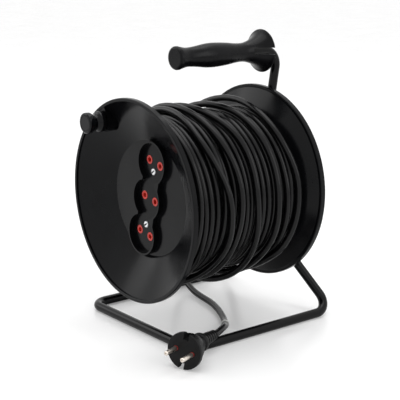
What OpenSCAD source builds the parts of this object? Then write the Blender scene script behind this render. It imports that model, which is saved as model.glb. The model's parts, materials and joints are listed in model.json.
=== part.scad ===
// Extension cord reel: a drum of black cord on a bent-tube stand, with three
// two-pin sockets in its front flange, a crank knob and a carrying grip.
// Millimetres. +Z is up and the socket side faces -Y.

/* [Drum] */
// Diameter of both flanges
flange_d = 220; // [212:1:232]
// Distance between the outer faces of the two flange rims
drum_w = 180; // [174:1:190]
// Width of the flat face of a flange rim
rim_w = 3.8; // [3:0.1:5]
// Length of the rim along the axle
rim_len = 6; // [5:0.5:8]
// Depth of the step just inside the rim
rim_step = 2.7; // [1.5:0.1:3.5]
// Depth of the flat centre of each dish below its rim
dish_depth = 25.8; // [23:0.2:29]
// Diameter of the flat centre of each dish
disc_d = 126; // [124:1:130]
// Wall of the moulded flanges
shell_t = 2.8; // [2.2:0.1:3.4]
// Outer diameter of the barrel that the cord is wound on
barrel_d = 120; // [118:1:122]
// Wall of the barrel
barrel_t = 2.5; // [2:0.1:3]
// Height of the axle above the floor
axle_z = 145; // [138:1:155]

/* [Sockets] */
// Distance between neighbouring sockets
socket_pitch = 41.5; // [40.5:0.1:42]
// Distance between the two pin holes of a socket
pin_pitch = 19; // [18:0.1:20]
// Diameter of a plug pin
pin_d = 4.8; // [4:0.1:5]
// Lean of the row of sockets from upright
row_tilt = 13.4; // [0:0.2:30]
// Radius of the recess round a socket
lobe_r = 21.8; // [21.2:0.1:22.2]
// Half width of the recess between two sockets
neck_half = 10.3; // [9:0.1:11.5]
// Wall of the collar round the recess
collar_t = 1.9; // [1.5:0.1:2.2]
// Half width of the collar between two sockets
collar_neck = 17.6; // [15:0.1:18]
// Height of the collar over the flat centre
collar_h = 5.8; // [4:0.1:8]
// Thickness of the cover plate that the pin holes are in
cover_t = 3; // [2.5:0.1:3.5]
// Thickness of the floor behind the cover plate
floor_t = 2.5; // [2:0.1:3]
// Outer diameter of a red liner round a pin hole
liner_d = 9.4; // [8.8:0.1:10]
// Bore of a red liner
liner_bore = 5.4; // [5.2:0.1:5.8]
// Depth of the insulating carrier behind the floor
carrier_len = 15; // [13:0.5:18]
// Distance of the cover screws from the middle of the row
screw_off = 31.2; // [30:0.1:32]
// Head diameter of a cover screw
screw_head_d = 7.2; // [6:0.1:8]

/* [Knob] */
// Distance of the crank knob from the axle
knob_r = 94.2; // [92.5:0.1:95]
// Angle of the crank knob from the top, towards the left
knob_angle = 32.4; // [20:0.2:45]
// Length of the knob
knob_len = 21.6; // [20:0.1:25]
// Diameter of the knob's face and of its rear collar
knob_d = 22.6; // [21:0.1:24]
// Diameter of the knob's waist
knob_waist = 15.4; // [14.5:0.1:17]
// Diameter of the pin that the knob turns on
knob_pin_d = 6; // [5:0.1:6.5]

/* [Stand] */
// Diameter of the stand tube
tube_d = 10.2; // [9.4:0.1:10.8]
// Width of the base between tube centres
base_w = 184; // [178:1:196]
// Place of the front tube behind the front rim
base_front = 9.2; // [4:0.2:16]
// Place of the rear corners behind the rear rim
base_rear = 31; // [26:1:42]
// Bend radius at the base corners
base_bend = 17; // [15:0.5:20]
// Height where the two legs meet the post
joint_z = 112; // [106:1:118]
// Backward lean of the post, as a slope
post_lean = 0.172; // [0.15:0.002:0.19]
// Bend radius where the post turns into the grip
grip_bend = 17; // [15:0.5:20]
// Height of the grip above the floor
grip_z = 292.4; // [286:0.2:304]

/* [Axle] */
// Diameter of the axle
axle_d = 12; // [11:0.1:13]
// Outer diameter of the two bushes
bush_d = 16; // [15.5:0.1:17]
// Running clearance between axle and bush, on the radius
axle_play = 0.05; // [0.03:0.01:0.09]
// Place of the inner hub behind the front rim
hub_y = 68; // [66:1:80]
// Length of the inner hub
hub_len = 24; // [20:1:30]

/* [Grip] */
// Length of the grip
grip_len = 122.5; // [118:0.5:130]
// Reach of the grip's front end from the post's corner
grip_front = 147.3; // [144.8:0.5:150.8]
// Width of the slot in the grip's flared end
slot_w = 11.6; // [11:0.1:13]
// Length of the slot in the grip's flared end
slot_len = 20; // [17:0.5:22]

/* [Cord] */
// Diameter of the cord
cord_d = 7.2; // [6.8:0.1:7.4]
// Radius of the inner layers of cord, which are one plain body
core_r = 85; // [83:0.5:86]
// Gap between neighbouring turns of the outer layer
turn_gap = 0.5; // [0.45:0.05:0.8]
// Turns of the outer layer that lie tight, where the drum has room for them
tight_turns = 17; // [12:1:17]
// Loose turns that cross over the tight ones
loose_turns = 4.5; // [3.5:0.5:5]
// Step from one loose turn to the next
loose_step = 25.5; // [18:0.5:26]
// Slant of the tight turns, from side to side
turn_sway = 1.6; // [0:0.1:2]
// Slant of the loose turns, from side to side
loose_sway = 6; // [0:0.5:8]
// Sag of the turns at the bottom
turn_sag = 1.6; // [0:0.1:2]

/* [Plug] */
// Diameter of the plug's face
plug_d = 38.4; // [37:0.1:39]
// Length of the plug from its face to the strain relief
plug_len = 42; // [40:0.5:44]
// Length of the strain relief
relief_len = 18; // [16:0.5:20]
// Length of a plug pin in front of the face
pin_len = 19; // [17:0.5:20]
// Width of the two notches in the plug's edge
notch_w = 6; // [5:0.1:7]

/* [Hidden] */
$fn = 96;

// Colours
c_black = [0.07, 0.07, 0.075];
c_cord = [0.11, 0.11, 0.12];
c_steel = [0.62, 0.63, 0.65];
c_brass = [0.78, 0.62, 0.30];
c_red = [0.80, 0.12, 0.08];
c_white = [0.90, 0.90, 0.88];

// Clearances
fit_gap = 0.1;
seat_gap = 0.02;
soft_gap = 0.3;
eps = 0.5;

// Drum
flange_r = flange_d / 2;
disc_r = disc_d / 2;
barrel_r = barrel_d / 2;
cone_r = flange_r - rim_w;
cone_rise = (dish_depth - rim_step) / (cone_r - disc_r);
wall_y = shell_t * sqrt(1 + cone_rise * cone_rise);
disc_back = dish_depth + shell_t;
rear_disc = drum_w - disc_back;
seat_d = 1;
post_r = 5;
tie_r = barrel_r - barrel_t - 4.3;
tie_angles = [50, 130, 230, 310];
tie_shank = 2;
tie_head_r = 4;
tie_head_h = 2.8;
boss_len = 12;
rib_reach = tie_r - tie_head_r - 1;
rim_round = 0.8;
function cone_y(r) = rim_step + (cone_r - r) * cone_rise;
function cone_back(r) = cone_y(r) + wall_y;

// Sockets
cover_back = dish_depth + cover_t;
floor_back = cover_back + floor_t;
block_step = 0.8;
carrier_back = floor_back + carrier_len;
carrier_lobe = 15;
carrier_neck = 13.5;
liner_back = floor_back + 2;
liner_proud = 0.3;
sleeve_r = pin_d / 2 + 1.1;
bar_t = 1.2;
bar_w = 7;
cover_lid_t = 4;
lid_back = carrier_back + cover_lid_t;
screw_shank = 1.6;
screw_reach = 8;
screw_proud = 1.2;
screw_sink = 0.9;
slot_depth = 0.9;
slot_cut = 1.1;
clamp_off = 14;
clamp_w = 26;
clamp_l = 10;
clamp_roof = 2.4;
clamp_edge = 4;
clamp_gap = 0.2;
lead_y = lid_back + clamp_gap + cord_d / 2;
clamp_back = lid_back + clamp_gap + cord_d + clamp_roof;
lead_end = sqrt(barrel_r * barrel_r - cord_d * cord_d / 4);

// Knob
boss_r = knob_d / 2 + 0.2;
knob_gap = 0.6;
knob_play = 0.08;
knob_x = -knob_r * sin(knob_angle);
knob_z = axle_z + knob_r * cos(knob_angle);
pin_head_r = 4.8;
pin_head_h = 2.2;
cap_t = 1.6;
cap_r = knob_d / 2 - 3;
pin_seat = cone_back(knob_r) - 1.2;

// Axle and hubs
axle_r = axle_d / 2;
bush_r = bush_d / 2;
bush_bore = axle_r + axle_play;
hub_r = bush_r + 5;
hub_web = 4;
rear_hub = drum_w - dish_depth + 6.8;
flange_t = 1.5;
washer_t = 1.4;
washer_r = bush_r + 2.5;
side_play = 0.2;
rear_face = rear_hub + flange_t;
bracket_front = rear_face + washer_t + 2 * side_play;
clip_t = 1.2;
groove_depth = 1;
front_face = hub_y - flange_t;
washer_front = front_face - side_play - washer_t;
clip_y = washer_front - side_play - clip_t;
axle_front = clip_y - 2.5;

// Stand
tube_r = tube_d / 2;
rear_y = drum_w + base_rear;
corner_set = 4.2;
grip_corner = rear_y - corner_set;
function post_y(z) = grip_corner - (grip_z - z) * post_lean;
post_stub = 10;
post_end = joint_z - post_stub;
post_cut = 20;
joint = [0, post_y(joint_z), joint_z];
corner_r = [base_w / 2, rear_y, tube_r];
corner_f = [base_w / 2, base_front, tube_r];
leg_stop = 2.5;
weld_gap = 0.04;
bend_lap = 0.3;
bend_step = 0.02;
bracket_w = 28;
bracket_h = 42;
bracket_round = 5;
bracket_back = post_y(axle_z);
axle_back = bracket_back - tube_r - 3;

// The whole is centred front to back on its own origin
leg_dir = unit(joint - corner_r);
rear_turn = acos(leg_dir.y);
y_back = rear_y - base_bend * tan(rear_turn / 2) + base_bend + tube_r;
y_front = -knob_len - knob_gap;
y_mid = (y_back + y_front) / 2;

// Grip
grip_y = grip_corner - grip_front;
grip_r = 12.7;
cap_len = 4;
spigot_r = 7.8;
spigot_len = 3;
bore_r = tube_r + fit_gap;
bell_r = 24;
bell_wall = 2.4;
bell_deep = 16;
grip_stop = 12;

// Cord: turns of the outer layer
cord_r = cord_d / 2;
turn_rings = 24;
turn_sides = 6;
chord = cos(180 / turn_rings);
turn_r = (core_r + fit_gap + cord_r) / chord;
turn_pitch = cord_d + turn_gap;
loose_r = turn_r + (cord_d + turn_gap) / chord;
side_room = 7;
layer_room = drum_w - 2 * (cone_back(core_r) + side_room);
laid_turns = min(tight_turns, floor(layer_room / turn_pitch));
layer_w = laid_turns * turn_pitch;
layer_y = (drum_w - layer_w) / 2;
loose_lead = loose_step * laid_turns / tight_turns;
climb = 0.5;
tail = 0.25;
tail_lift = 1.6;
all_turns = laid_turns + climb + loose_turns;
first_angle = 180 - 360 * all_turns;

// Cord: the free stretch lies on the floor, from the drum to the plug
cord_route = [[-108.5, 138, 144], [-108.5, 138, 122], [-108.5, 138, 99],
    [-108.5, 138, 76], [-107, 138, 54], [-101.5, 138, 33], [-91, 137, 18.5],
    [-76, 134, 9.5], [-57, 129.5, 4.8], [-36, 125.5, 3.6], [-14, 121, 3.6], [6, 114, 3.6],
    [25, 105, 3.6], [42, 95, 3.6], [58, 83, 6], [72, 71, 11], [85, 59, 16]];
cord_sides = 8;
cord_steps = 2;
cord_ref = [0.93, 0.36, 0];
tie_at = 14;

// Plug: place of the middle of its face, and the way its pins point
plug_face = [122, -23, 19.6];
plug_dir = unit([0.36, -0.93, 0.03]);
plug_roll = 10;
rim_back = 5;
notch_in = 7;
notch_len = 16;
relief_r = 6;
relief_tip = cord_r + 1;
collar_rr = 2.9;
collar_out = 0.7;
pin_root = 8;
root_r = pin_d / 2 - 0.5;
cord_end = plug_face - plug_dir * (plug_len + relief_len);

// ---------- helpers ----------
function unit(v) = v / norm(v);
function turn_of(a, b, c) = acos(unit(b - a) * unit(c - b));
function tangent(a, b, c, bend) = bend * tan(turn_of(a, b, c) / 2);
function smooth(t) = t <= 0 ? 0 : t >= 1 ? 1 : t * t * (3 - 2 * t);

// From the front rim's plane to the object's own origin
module placed() translate([0, -y_mid, 0]) children();

// A profile of (radius, depth) points turned about the axle
module turned(points) {
    translate([0, 0, axle_z]) rotate([-90, 0, 0]) rotate_extrude() polygon(points);
}

// A ring about the axle, from depth a to depth b
module ring(a, b, r_out, r_in) {
    turned([[r_in, a], [r_out, a], [r_out, b], [r_in, b]]);
}

// A flat outline in X and Z, centred on the axle, from depth a to depth b
module slab(a, b) {
    translate([0, b, axle_z]) rotate([90, 0, 0]) linear_extrude(b - a) children();
}

module rod(p, q, r) {
    v = q - p;
    translate(p) rotate([0, acos(v.z / norm(v)), atan2(v.y, v.x)]) cylinder(h = norm(v), r = r);
}

// A quarter or so of a ring that joins two rods at corner b
module elbow(a, b, c, bend, r) {
    u = unit(b - a);
    v = unit(c - b);
    n = unit(v - (v * u) * u);
    w = cross(-n, u);
    o = b - u * tangent(a, b, c, bend) + n * bend;
    multmatrix([[-n.x, u.x, w.x, o.x], [-n.y, u.y, w.y, o.y], [-n.z, u.z, w.z, o.z]])
        rotate_extrude(angle = turn_of(a, b, c)) translate([bend, 0]) circle(r = r);
}

// A tube through corner points, each corner bent to its own radius
module bent_tube(pts, bends, r) {
    last = len(pts) - 1;
    cut = [for (i = [0 : last]) i == 0 || i == last ? 0
        : tangent(pts[i - 1], pts[i], pts[i + 1], bends[i])];
    for (i = [0 : last - 1]) {
        d = unit(pts[i + 1] - pts[i]);
        lap_a = i == 0 ? 0 : bend_lap;
        lap_b = i == last - 1 ? 0 : bend_lap;
        rod(pts[i] + d * (cut[i] - lap_a), pts[i + 1] - d * (cut[i + 1] - lap_b), r - bend_step);
    }
    for (i = [1 : last - 1]) elbow(pts[i - 1], pts[i], pts[i + 1], bends[i], r);
}

// Places along a flat row of three sockets
module along_row() rotate(-row_tilt) children();

module lobes(r, neck) along_row() {
    for (k = [-1 : 1]) translate([0, k * socket_pitch]) circle(r = r);
    square([2 * neck, 2 * socket_pitch], center = true);
}

module at_pins() along_row() for (k = [-1 : 1], s = [-1, 1])
    translate([s * pin_pitch / 2, k * socket_pitch]) children();

module at_cover_screws() along_row() for (s = [-1, 1]) translate([0, s * screw_off]) children();

module at_ties() for (a = tie_angles) rotate(90 - row_tilt - a) translate([tie_r, 0]) children();

module round_square(w, h, r) {
    square([w - 2 * r, h], center = true);
    square([w, h - 2 * r], center = true);
    for (x = [-1, 1], y = [-1, 1]) translate([x * (w / 2 - r), y * (h / 2 - r)]) circle(r = r);
}

// ---------- swept cord ----------
function ring_at(p, t, ref, r, sides) =
    let (u = unit(cross(t, ref)), v = cross(t, u))
    [for (k = [0 : sides - 1]) p + r * (u * cos(360 * k / sides) + v * sin(360 * k / sides))];

function way(path, i) = unit(path[min(i + 1, len(path) - 1)] - path[max(i - 1, 0)]);

module swept(path, refs, r, sides) {
    n = len(path);
    points = [for (i = [0 : n - 1]) each ring_at(path[i], way(path, i), refs[i], r, sides)];
    walls = [for (i = [0 : n - 2], k = [0 : sides - 1])
        let (a = i * sides + k, b = i * sides + (k + 1) % sides)
        each [[a, b + sides, b], [a, a + sides, b + sides]]];
    start = [for (k = [1 : sides - 2]) [0, k, k + 1]];
    last = (n - 1) * sides;
    end = [for (k = [1 : sides - 2]) [last, last + k + 1, last + k]];
    polyhedron(points = points, faces = concat(walls, start, end), convexity = 8);
}

// A smooth curve through the route's points
function bend_through(p, i, t) =
    let (a = p[max(i - 1, 0)], b = p[i], c = p[i + 1], d = p[min(i + 2, len(p) - 1)])
    0.5 * (2 * b + (c - a) * t + (2 * a - 5 * b + 4 * c - d) * t * t
        + (3 * b - a - 3 * c + d) * t * t * t);

function on_floor(p) = [p.x, p.y, max(p.z, cord_r)];

function free_path() =
    let (p = concat(cord_route, [cord_end - plug_dir * cord_d, cord_end]),
        n = len(p))
    concat([for (i = [0 : n - 3], k = [0 : cord_steps - 1])
        on_floor(bend_through(p, i, k / cord_steps))], [p[n - 2], p[n - 1]]);

// Where the outer layer is after a turns: tight turns to the front, a climb, loose ones
// to the back, and a tail that stands out on the left, where the free cord leaves it
function layer_point(a) =
    let (up = smooth((a - laid_turns) / climb),
        off = smooth((a - all_turns + tail) / tail),
        deg = first_angle + 360 * a,
        sag = turn_sag * (1 - sin(deg)) / 2 * (1 + up),
        r = turn_r + (loose_r - turn_r) * up + sag + tail_lift * off,
        out = min(a, laid_turns + climb / 2),
        back = max(a - laid_turns - climb / 2, 0),
        sway = turn_sway + (loose_sway - turn_sway) * up,
        y = drum_w - layer_y - out * turn_pitch + back * loose_lead + sway * cos(deg))
    [r * cos(deg), y, axle_z + r * sin(deg)];

function layer_path() =
    let (n = round(all_turns * turn_rings),
        mid = [for (i = [0 : n]) layer_point(i / turn_rings)])
    concat([mid[0] - unit(mid[1] - mid[0]) * cord_d], mid,
        [mid[n] + unit(mid[n] - mid[n - 1]) * cord_d]);

function least_gap(p) = min([for (i = [0 : len(p) - 1], j = [i + 12 : 1 : len(p) - 1])
    norm(p[i] - p[j])]) - cord_d;

// ---------- stand ----------
module base_frame() color(c_black) placed() {
    to_joint = joint - leg_dir * leg_stop;
    flip = [-to_joint.x, to_joint.y, to_joint.z];
    difference() {
        bent_tube([to_joint, corner_r, corner_f, [-corner_f.x, corner_f.y, corner_f.z],
            [-corner_r.x, corner_r.y, corner_r.z], flip],
            [0, base_bend, base_bend, base_bend, base_bend, 0], tube_r);
        rod([0, post_y(post_end - post_cut), post_end - post_cut], [0, post_y(axle_z), axle_z],
            tube_r + weld_gap);
    }
}

module handle_tube() color(c_black) placed()
    bent_tube([[0, grip_y + grip_stop, grip_z], [0, grip_corner, grip_z],
        [0, post_y(post_end), post_end]], [0, grip_bend, 0], tube_r);

module axle_bracket() color(c_black) placed() difference() {
    slab(bracket_front, bracket_back) round_square(bracket_w, bracket_h, bracket_round);
    rod([0, post_y(axle_z - bracket_h), axle_z - bracket_h],
        [0, post_y(axle_z + bracket_h), axle_z + bracket_h], tube_r + weld_gap);
    slab(bracket_front - eps, bracket_back) circle(r = axle_r + seat_gap);
}

module axle_shaft() color(c_steel) placed() turned([[0, axle_front], [axle_r - 1, axle_front],
    [axle_r, axle_front + 1], [axle_r, clip_y], [axle_r - groove_depth, clip_y],
    [axle_r - groove_depth, clip_y + clip_t], [axle_r, clip_y + clip_t],
    [axle_r, axle_back], [0, axle_back]]);

module rear_washer() color(c_steel) placed()
    ring(rear_face + side_play, rear_face + side_play + washer_t, washer_r, axle_r + fit_gap);

module front_washer() color(c_steel) placed()
    ring(washer_front, washer_front + washer_t, washer_r, axle_r + fit_gap);

// Open spring clip in the axle's groove
module retaining_clip() color(c_steel) placed() difference() {
    ring(clip_y + seat_gap, clip_y + clip_t - seat_gap, axle_r + 3, axle_r - groove_depth + seat_gap);
    slab(clip_y - eps, clip_y + clip_t + eps) translate([-axle_r / 2, 0]) square([axle_r, 2 * axle_r]);
}

// Grip: swells in the middle and flares to a hollow bell at the post end
module handle_grip() color(c_black) placed() {
    e = grip_len;
    outside = [[spigot_r + fit_gap, cap_len], [grip_r, cap_len], [11.9, 7], [10.8, 12],
        [10.3, 17], [10.7, 24], [11.6, 32], [12.7, 40], [13.3, 49], [13, e / 2 - 4],
        [12.7, e - 56.5], [11.8, e - 48.5], [10.7, e - 40.5], [10.3, e - 32.5],
        [10.7, e - 26.5], [11.7, e - 21.5], [13.2, e - 16.5], [15.2, e - 11.5],
        [17.8, e - 7], [20.8, e - 3.4], [23.4, e - 1.2], [bell_r, e - 0.6], [bell_r, e]];
    inside = [[bell_r - bell_wall, e], [bell_r - bell_wall - 2.6, e - 2.4],
        [14.2, e - 8], [10.5, e - 13], [bore_r, e - bell_deep], [bore_r, grip_stop],
        [spigot_r + fit_gap, grip_stop]];
    difference() {
        translate([0, grip_y, grip_z - axle_z]) turned(concat(outside, inside));
        translate([0, grip_y + grip_len - slot_len, grip_z - slot_w / 2])
            cube([bell_r + eps, slot_len + eps, slot_w]);
    }
}

module grip_end_cap() color(c_black) placed() translate([0, grip_y, grip_z - axle_z])
    turned([[0, 0], [grip_r - 2.3, 0], [grip_r - 0.9, 0.5], [grip_r - 0.1, 1.6],
        [grip_r, cap_len], [spigot_r, cap_len], [spigot_r, cap_len + spigot_len],
        [0, cap_len + spigot_len]]);

// ---------- flanges and barrel ----------
// The dished shell that both flanges share, seen from its own rim
module dish() turned([[0, dish_depth], [disc_r, dish_depth], [cone_r, rim_step],
    [cone_r, rim_round / 2], [cone_r + rim_round / 2, 0], [flange_r - rim_round, 0],
    [flange_r - 0.25, 0.25], [flange_r, rim_round], [flange_r, rim_len - rim_round],
    [flange_r - rim_round, rim_len], [cone_r + 1, rim_len], [cone_r, cone_back(cone_r)],
    [disc_r, disc_back], [0, disc_back]]);

module barrel_seat() ring(disc_back - seat_d, disc_back + eps, barrel_r + fit_gap,
    barrel_r - barrel_t - fit_gap);

// Boss under the knob: a round end with straight sides out to the rim
module knob_boss() difference() {
    slab(0, cone_back(disc_r)) intersection() {
        rotate(knob_angle) {
            translate([0, knob_r]) circle(r = boss_r);
            translate([-boss_r, knob_r]) square([2 * boss_r, boss_r]);
        }
        circle(r = cone_r + rim_w / 2);
    }
    turned([[disc_r - 10, disc_back + 10], [disc_r - 10, disc_back], [disc_r, disc_back - eps],
        [cone_r + rim_w, cone_back(cone_r + rim_w) - eps], [cone_r + rim_w, disc_back + 10]]);
}

module front_flange() color(c_black) placed() difference() {
    union() {
        dish();
        knob_boss();
        slab(disc_back - eps, disc_back + boss_len) intersection() {
            at_ties() circle(r = post_r);
            circle(r = barrel_r - barrel_t - fit_gap);
        }
    }
    slab(0, dish_depth) collar_outline(fit_gap);
    slab(dish_depth - eps, disc_back + eps) block_outline(fit_gap);
    slab(disc_back + 1, disc_back + boss_len + eps) at_ties() circle(r = tie_shank + seat_gap);
    translate([knob_x, 0, knob_z - axle_z]) slab(-eps, pin_seat) circle(r = knob_pin_d / 2 + seat_gap);
    barrel_seat();
}

module rear_flange() color(c_black) placed() difference() {
    union() {
        translate([0, drum_w, 0]) mirror([0, 1, 0]) dish();
        ring(rear_disc - 8, rear_hub, hub_r, 0);
        // ribs from the hub to just inside the tie screws
        slab(drum_w - dish_depth - eps, rear_hub - 2.5) for (a = [0 : 45 : 315])
            rotate(a + 22.5) translate([hub_r - 1, -1]) square([rib_reach - hub_r + 1, 2]);
    }
    translate([0, drum_w, 0]) mirror([0, 1, 0]) barrel_seat();
    ring(rear_disc - 9, rear_hub + eps, bush_r + seat_gap, 0);
    slab(rear_disc - eps, drum_w) at_ties() circle(r = tie_shank + fit_gap);
}

// Barrel with four screw posts inside and the hole where the cord goes in
module drum_barrel() color(c_black) placed() difference() {
    union() {
        ring(disc_back - seat_d, rear_disc + seat_d, barrel_r, barrel_r - barrel_t);
        slab(disc_back + boss_len + seat_gap, rear_disc) intersection() {
            at_ties() circle(r = post_r);
            circle(r = barrel_r - eps);
        }
    }
    slab(disc_back, rear_disc + eps) at_ties() circle(r = tie_shank + fit_gap);
    socket_notch(fit_gap);
    translate([0, lead_y, axle_z]) rotate([0, 90, 0])
        cylinder(h = barrel_r + eps, r = cord_r + fit_gap);
}

// Room for the socket block, which reaches past the barrel at both ends of the row
module socket_notch(gap) slab(disc_back - seat_d - eps, floor_back + gap) block_outline(gap);

module tie_screws() color(c_steel) placed() {
    slab(disc_back + 2, drum_w - dish_depth) at_ties() circle(r = tie_shank);
    slab(drum_w - dish_depth, drum_w - dish_depth + tie_head_h) at_ties() circle(r = tie_head_r);
}

// Partition inside the barrel that carries the front bush
module inner_hub() color(c_black) placed() difference() {
    union() {
        ring(hub_y + 4, hub_y + 4 + hub_web, barrel_r - barrel_t - fit_gap, 0);
        ring(hub_y, hub_y + hub_len, hub_r, 0);
        slab(hub_y + 4 + hub_web - eps, hub_y + hub_len - 4) for (a = [0 : 60 : 300])
            rotate(a) translate([hub_r - 1, -1]) square([barrel_r - barrel_t - hub_r - 8, 2]);
    }
    ring(hub_y - eps, hub_y + hub_len + eps, bush_r + seat_gap, 0);
    slab(hub_y, hub_y + hub_len) at_ties() circle(r = post_r + 0.2);
}

module bush(a, b, flange_a, flange_b) difference() {
    union() {
        ring(a, b, bush_r, 0);
        ring(flange_a, flange_b, bush_r + 2.5, 0);
    }
    ring(a - 5, b + 5, bush_bore, 0);
}

module front_bush() color(c_white) placed()
    bush(hub_y, hub_y + hub_len, hub_y - flange_t, hub_y);

module rear_bush() color(c_white) placed()
    bush(rear_disc - 8, rear_hub, rear_hub, rear_hub + flange_t);

// ---------- sockets ----------
// Outline of the socket block in front of the disc, and where it goes through it
module collar_outline(gap = 0) lobes(lobe_r + collar_t + gap, collar_neck + gap);

module block_outline(gap = 0) lobes(lobe_r + collar_t - block_step + gap,
    collar_neck - block_step + gap);

// Three-lobed cup for the sockets: its collar rests on the disc and its floor lies behind
module socket_block() color(c_black) placed() difference() {
    union() {
        slab(dish_depth - collar_h, dish_depth) collar_outline();
        slab(dish_depth - eps, floor_back) block_outline();
    }
    slab(0, cover_back) lobes(lobe_r, neck_half);
    slab(cover_back - eps, floor_back + eps) at_pins() circle(r = liner_d / 2 + fit_gap);
    slab(cover_back - eps, floor_back + eps) at_cover_screws() circle(r = screw_shank + fit_gap);
}

module socket_cover() color(c_black) placed() difference() {
    slab(dish_depth, cover_back) lobes(lobe_r - fit_gap, neck_half - fit_gap);
    slab(dish_depth - eps, cover_back + eps) at_pins() circle(r = liner_d / 2 + fit_gap);
    slab(dish_depth - eps, cover_back + eps) at_cover_screws() circle(r = screw_shank + fit_gap);
    slab(dish_depth - eps, dish_depth + screw_sink) at_cover_screws()
        circle(r = screw_head_d / 2 + fit_gap);
}

module socket_liners() color(c_red) placed() slab(dish_depth - liner_proud, liner_back) at_pins()
    difference() {
        circle(r = liner_d / 2);
        circle(r = liner_bore / 2);
    }

module socket_screws() color(c_steel) placed() difference() {
    union() {
        slab(dish_depth - screw_proud, dish_depth + screw_sink) at_cover_screws()
            circle(r = screw_head_d / 2);
        slab(dish_depth + screw_sink - eps, floor_back + screw_reach) at_cover_screws()
            circle(r = screw_shank);
    }
    slab(dish_depth - screw_proud - eps, dish_depth - screw_proud + slot_depth) at_cover_screws()
        rotate(30) square([screw_head_d + 2 * eps, slot_cut], center = true);
}

// Outline of the contact carrier, trimmed to the inside of the barrel
module carrier_outline() intersection() {
    lobes(carrier_lobe, carrier_neck);
    circle(r = barrel_r - barrel_t - fit_gap);
}

// Moulded block behind the floor that holds the contacts
module contact_carrier() color(c_white) placed() difference() {
    slab(floor_back, carrier_back) carrier_outline();
    slab(floor_back - eps, carrier_back + eps) at_pins() circle(r = sleeve_r + fit_gap);
    slab(floor_back - eps, liner_back + fit_gap) at_pins() circle(r = liner_d / 2 + fit_gap);
    slab(floor_back - eps, floor_back + screw_reach + 1) at_cover_screws()
        circle(r = screw_shank + seat_gap);
}

module contact_sleeves() color(c_brass) placed() slab(liner_back + 0.2, carrier_back) at_pins()
    difference() {
        circle(r = sleeve_r);
        circle(r = pin_d / 2 + 0.05);
    }

// Strip that joins the contacts of one pole
module pole_bar(side) slab(carrier_back, carrier_back + bar_t) along_row()
    translate([side * pin_pitch / 2, 0]) square([bar_w, 2 * socket_pitch + bar_w], center = true);

module live_bar() color(c_brass) placed() pole_bar(-1);

module neutral_bar() color(c_brass) placed() pole_bar(1);

// Lid over the strips, with a channel for each of them
module carrier_cover() color(c_white) placed() difference() {
    slab(carrier_back, lid_back) carrier_outline();
    for (side = [-1, 1]) slab(carrier_back - eps, carrier_back + bar_t + 0.1) along_row()
        translate([side * pin_pitch / 2, 0])
        square([bar_w + 0.2, 2 * socket_pitch + bar_w + 0.2], center = true);
}

// Saddle that holds the cord's inner end on the lid
module lead_clamp() color(c_white) placed() difference() {
    slab(lid_back, clamp_back) translate([clamp_off - clamp_l / 2, -clamp_w / 2])
        square([clamp_l, clamp_w]);
    translate([clamp_off, lead_y, axle_z]) rotate([0, 90, 0])
        cylinder(h = clamp_l + 2 * eps, r = cord_r + 0.05, center = true);
    slab(lid_back - eps, clamp_back + eps) at_clamp_screws() circle(r = screw_shank + fit_gap);
}

module at_clamp_screws() for (s = [-1, 1]) translate([clamp_off, s * (clamp_w / 2 - clamp_edge)]) children();

module clamp_screws() color(c_steel) placed()
    slab(lid_back + fit_gap, clamp_back) at_clamp_screws() circle(r = screw_shank);

module lead_in() color(c_cord) placed() translate([clamp_off - clamp_l, lead_y, axle_z])
    rotate([0, 90, 0]) cylinder(h = lead_end - clamp_off + clamp_l, r = cord_r);

// ---------- winding ----------
// Inner layers of cord, one plain body between the flanges
module wound_core() color(c_cord) placed() difference() {
    turned([[barrel_r + seat_gap, disc_back + soft_gap],
        [disc_r, disc_back + soft_gap], [core_r, cone_back(core_r) + soft_gap],
        [core_r, drum_w - cone_back(core_r) - soft_gap], [disc_r, rear_disc - soft_gap],
        [barrel_r + seat_gap, rear_disc - soft_gap]]);
    socket_notch(soft_gap);
}

module wound_layer() color(c_cord) placed() {
    path = layer_path();
    refs = [for (p = path) [p.x, 0, p.z - axle_z]];
    echo(least_gap_of_the_winding = least_gap(path));
    swept(path, refs, cord_r, turn_sides);
}

// ---------- knob ----------
module at_knob() translate([knob_x, 0, knob_z - axle_z]) mirror([0, 1, 0]) children();

module knob_pin() color(c_steel) placed() at_knob() {
    seat = knob_gap + knob_len - cap_t - 0.6 - pin_head_h - 0.3;
    turned([[0, -pin_seat], [knob_pin_d / 2, -pin_seat], [knob_pin_d / 2, seat],
        [pin_head_r, seat], [pin_head_r, seat + pin_head_h], [0, seat + pin_head_h]]);
}

module crank_knob() color(c_black) placed() at_knob() {
    a = knob_gap;
    b = knob_gap + knob_len;
    r = knob_d / 2;
    w = knob_waist / 2;
    head = b - cap_t - 0.6 - pin_head_h - 0.6;
    bore = knob_pin_d / 2 + knob_play;
    turned([[bore, a], [r - 1.4, a], [r - 0.4, a + 0.5], [r, a + 1.6], [r, a + 3],
        [r - 0.5, a + 4.2], [w + 1.6, a + 5.8], [w + 0.4, a + 8], [w, a + 10], [w + 0.4, a + 12.4],
        [w + 1.6, a + 14.8], [r - 0.9, b - 3.9], [r, b - 2.5], [r, b - 0.9], [r - 0.7, b - 0.2],
        [r - 1.6, b], [cap_r + fit_gap, b], [cap_r + fit_gap, b - cap_t], [pin_head_r + 0.4, b - cap_t],
        [pin_head_r + 0.4, head], [bore, head]]);
}

module knob_cap() color(c_black) placed() at_knob() {
    b = knob_gap + knob_len;
    turned([[0, b - cap_t], [cap_r, b - cap_t], [cap_r, b - 0.5], [cap_r - 0.4, b - 0.2], [0, b - 0.2]]);
}

// ---------- cord and plug ----------
module free_cord() color(c_cord) placed() {
    path = free_path();
    swept(path, [for (p = path) cord_ref], cord_r, cord_sides);
}

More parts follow.
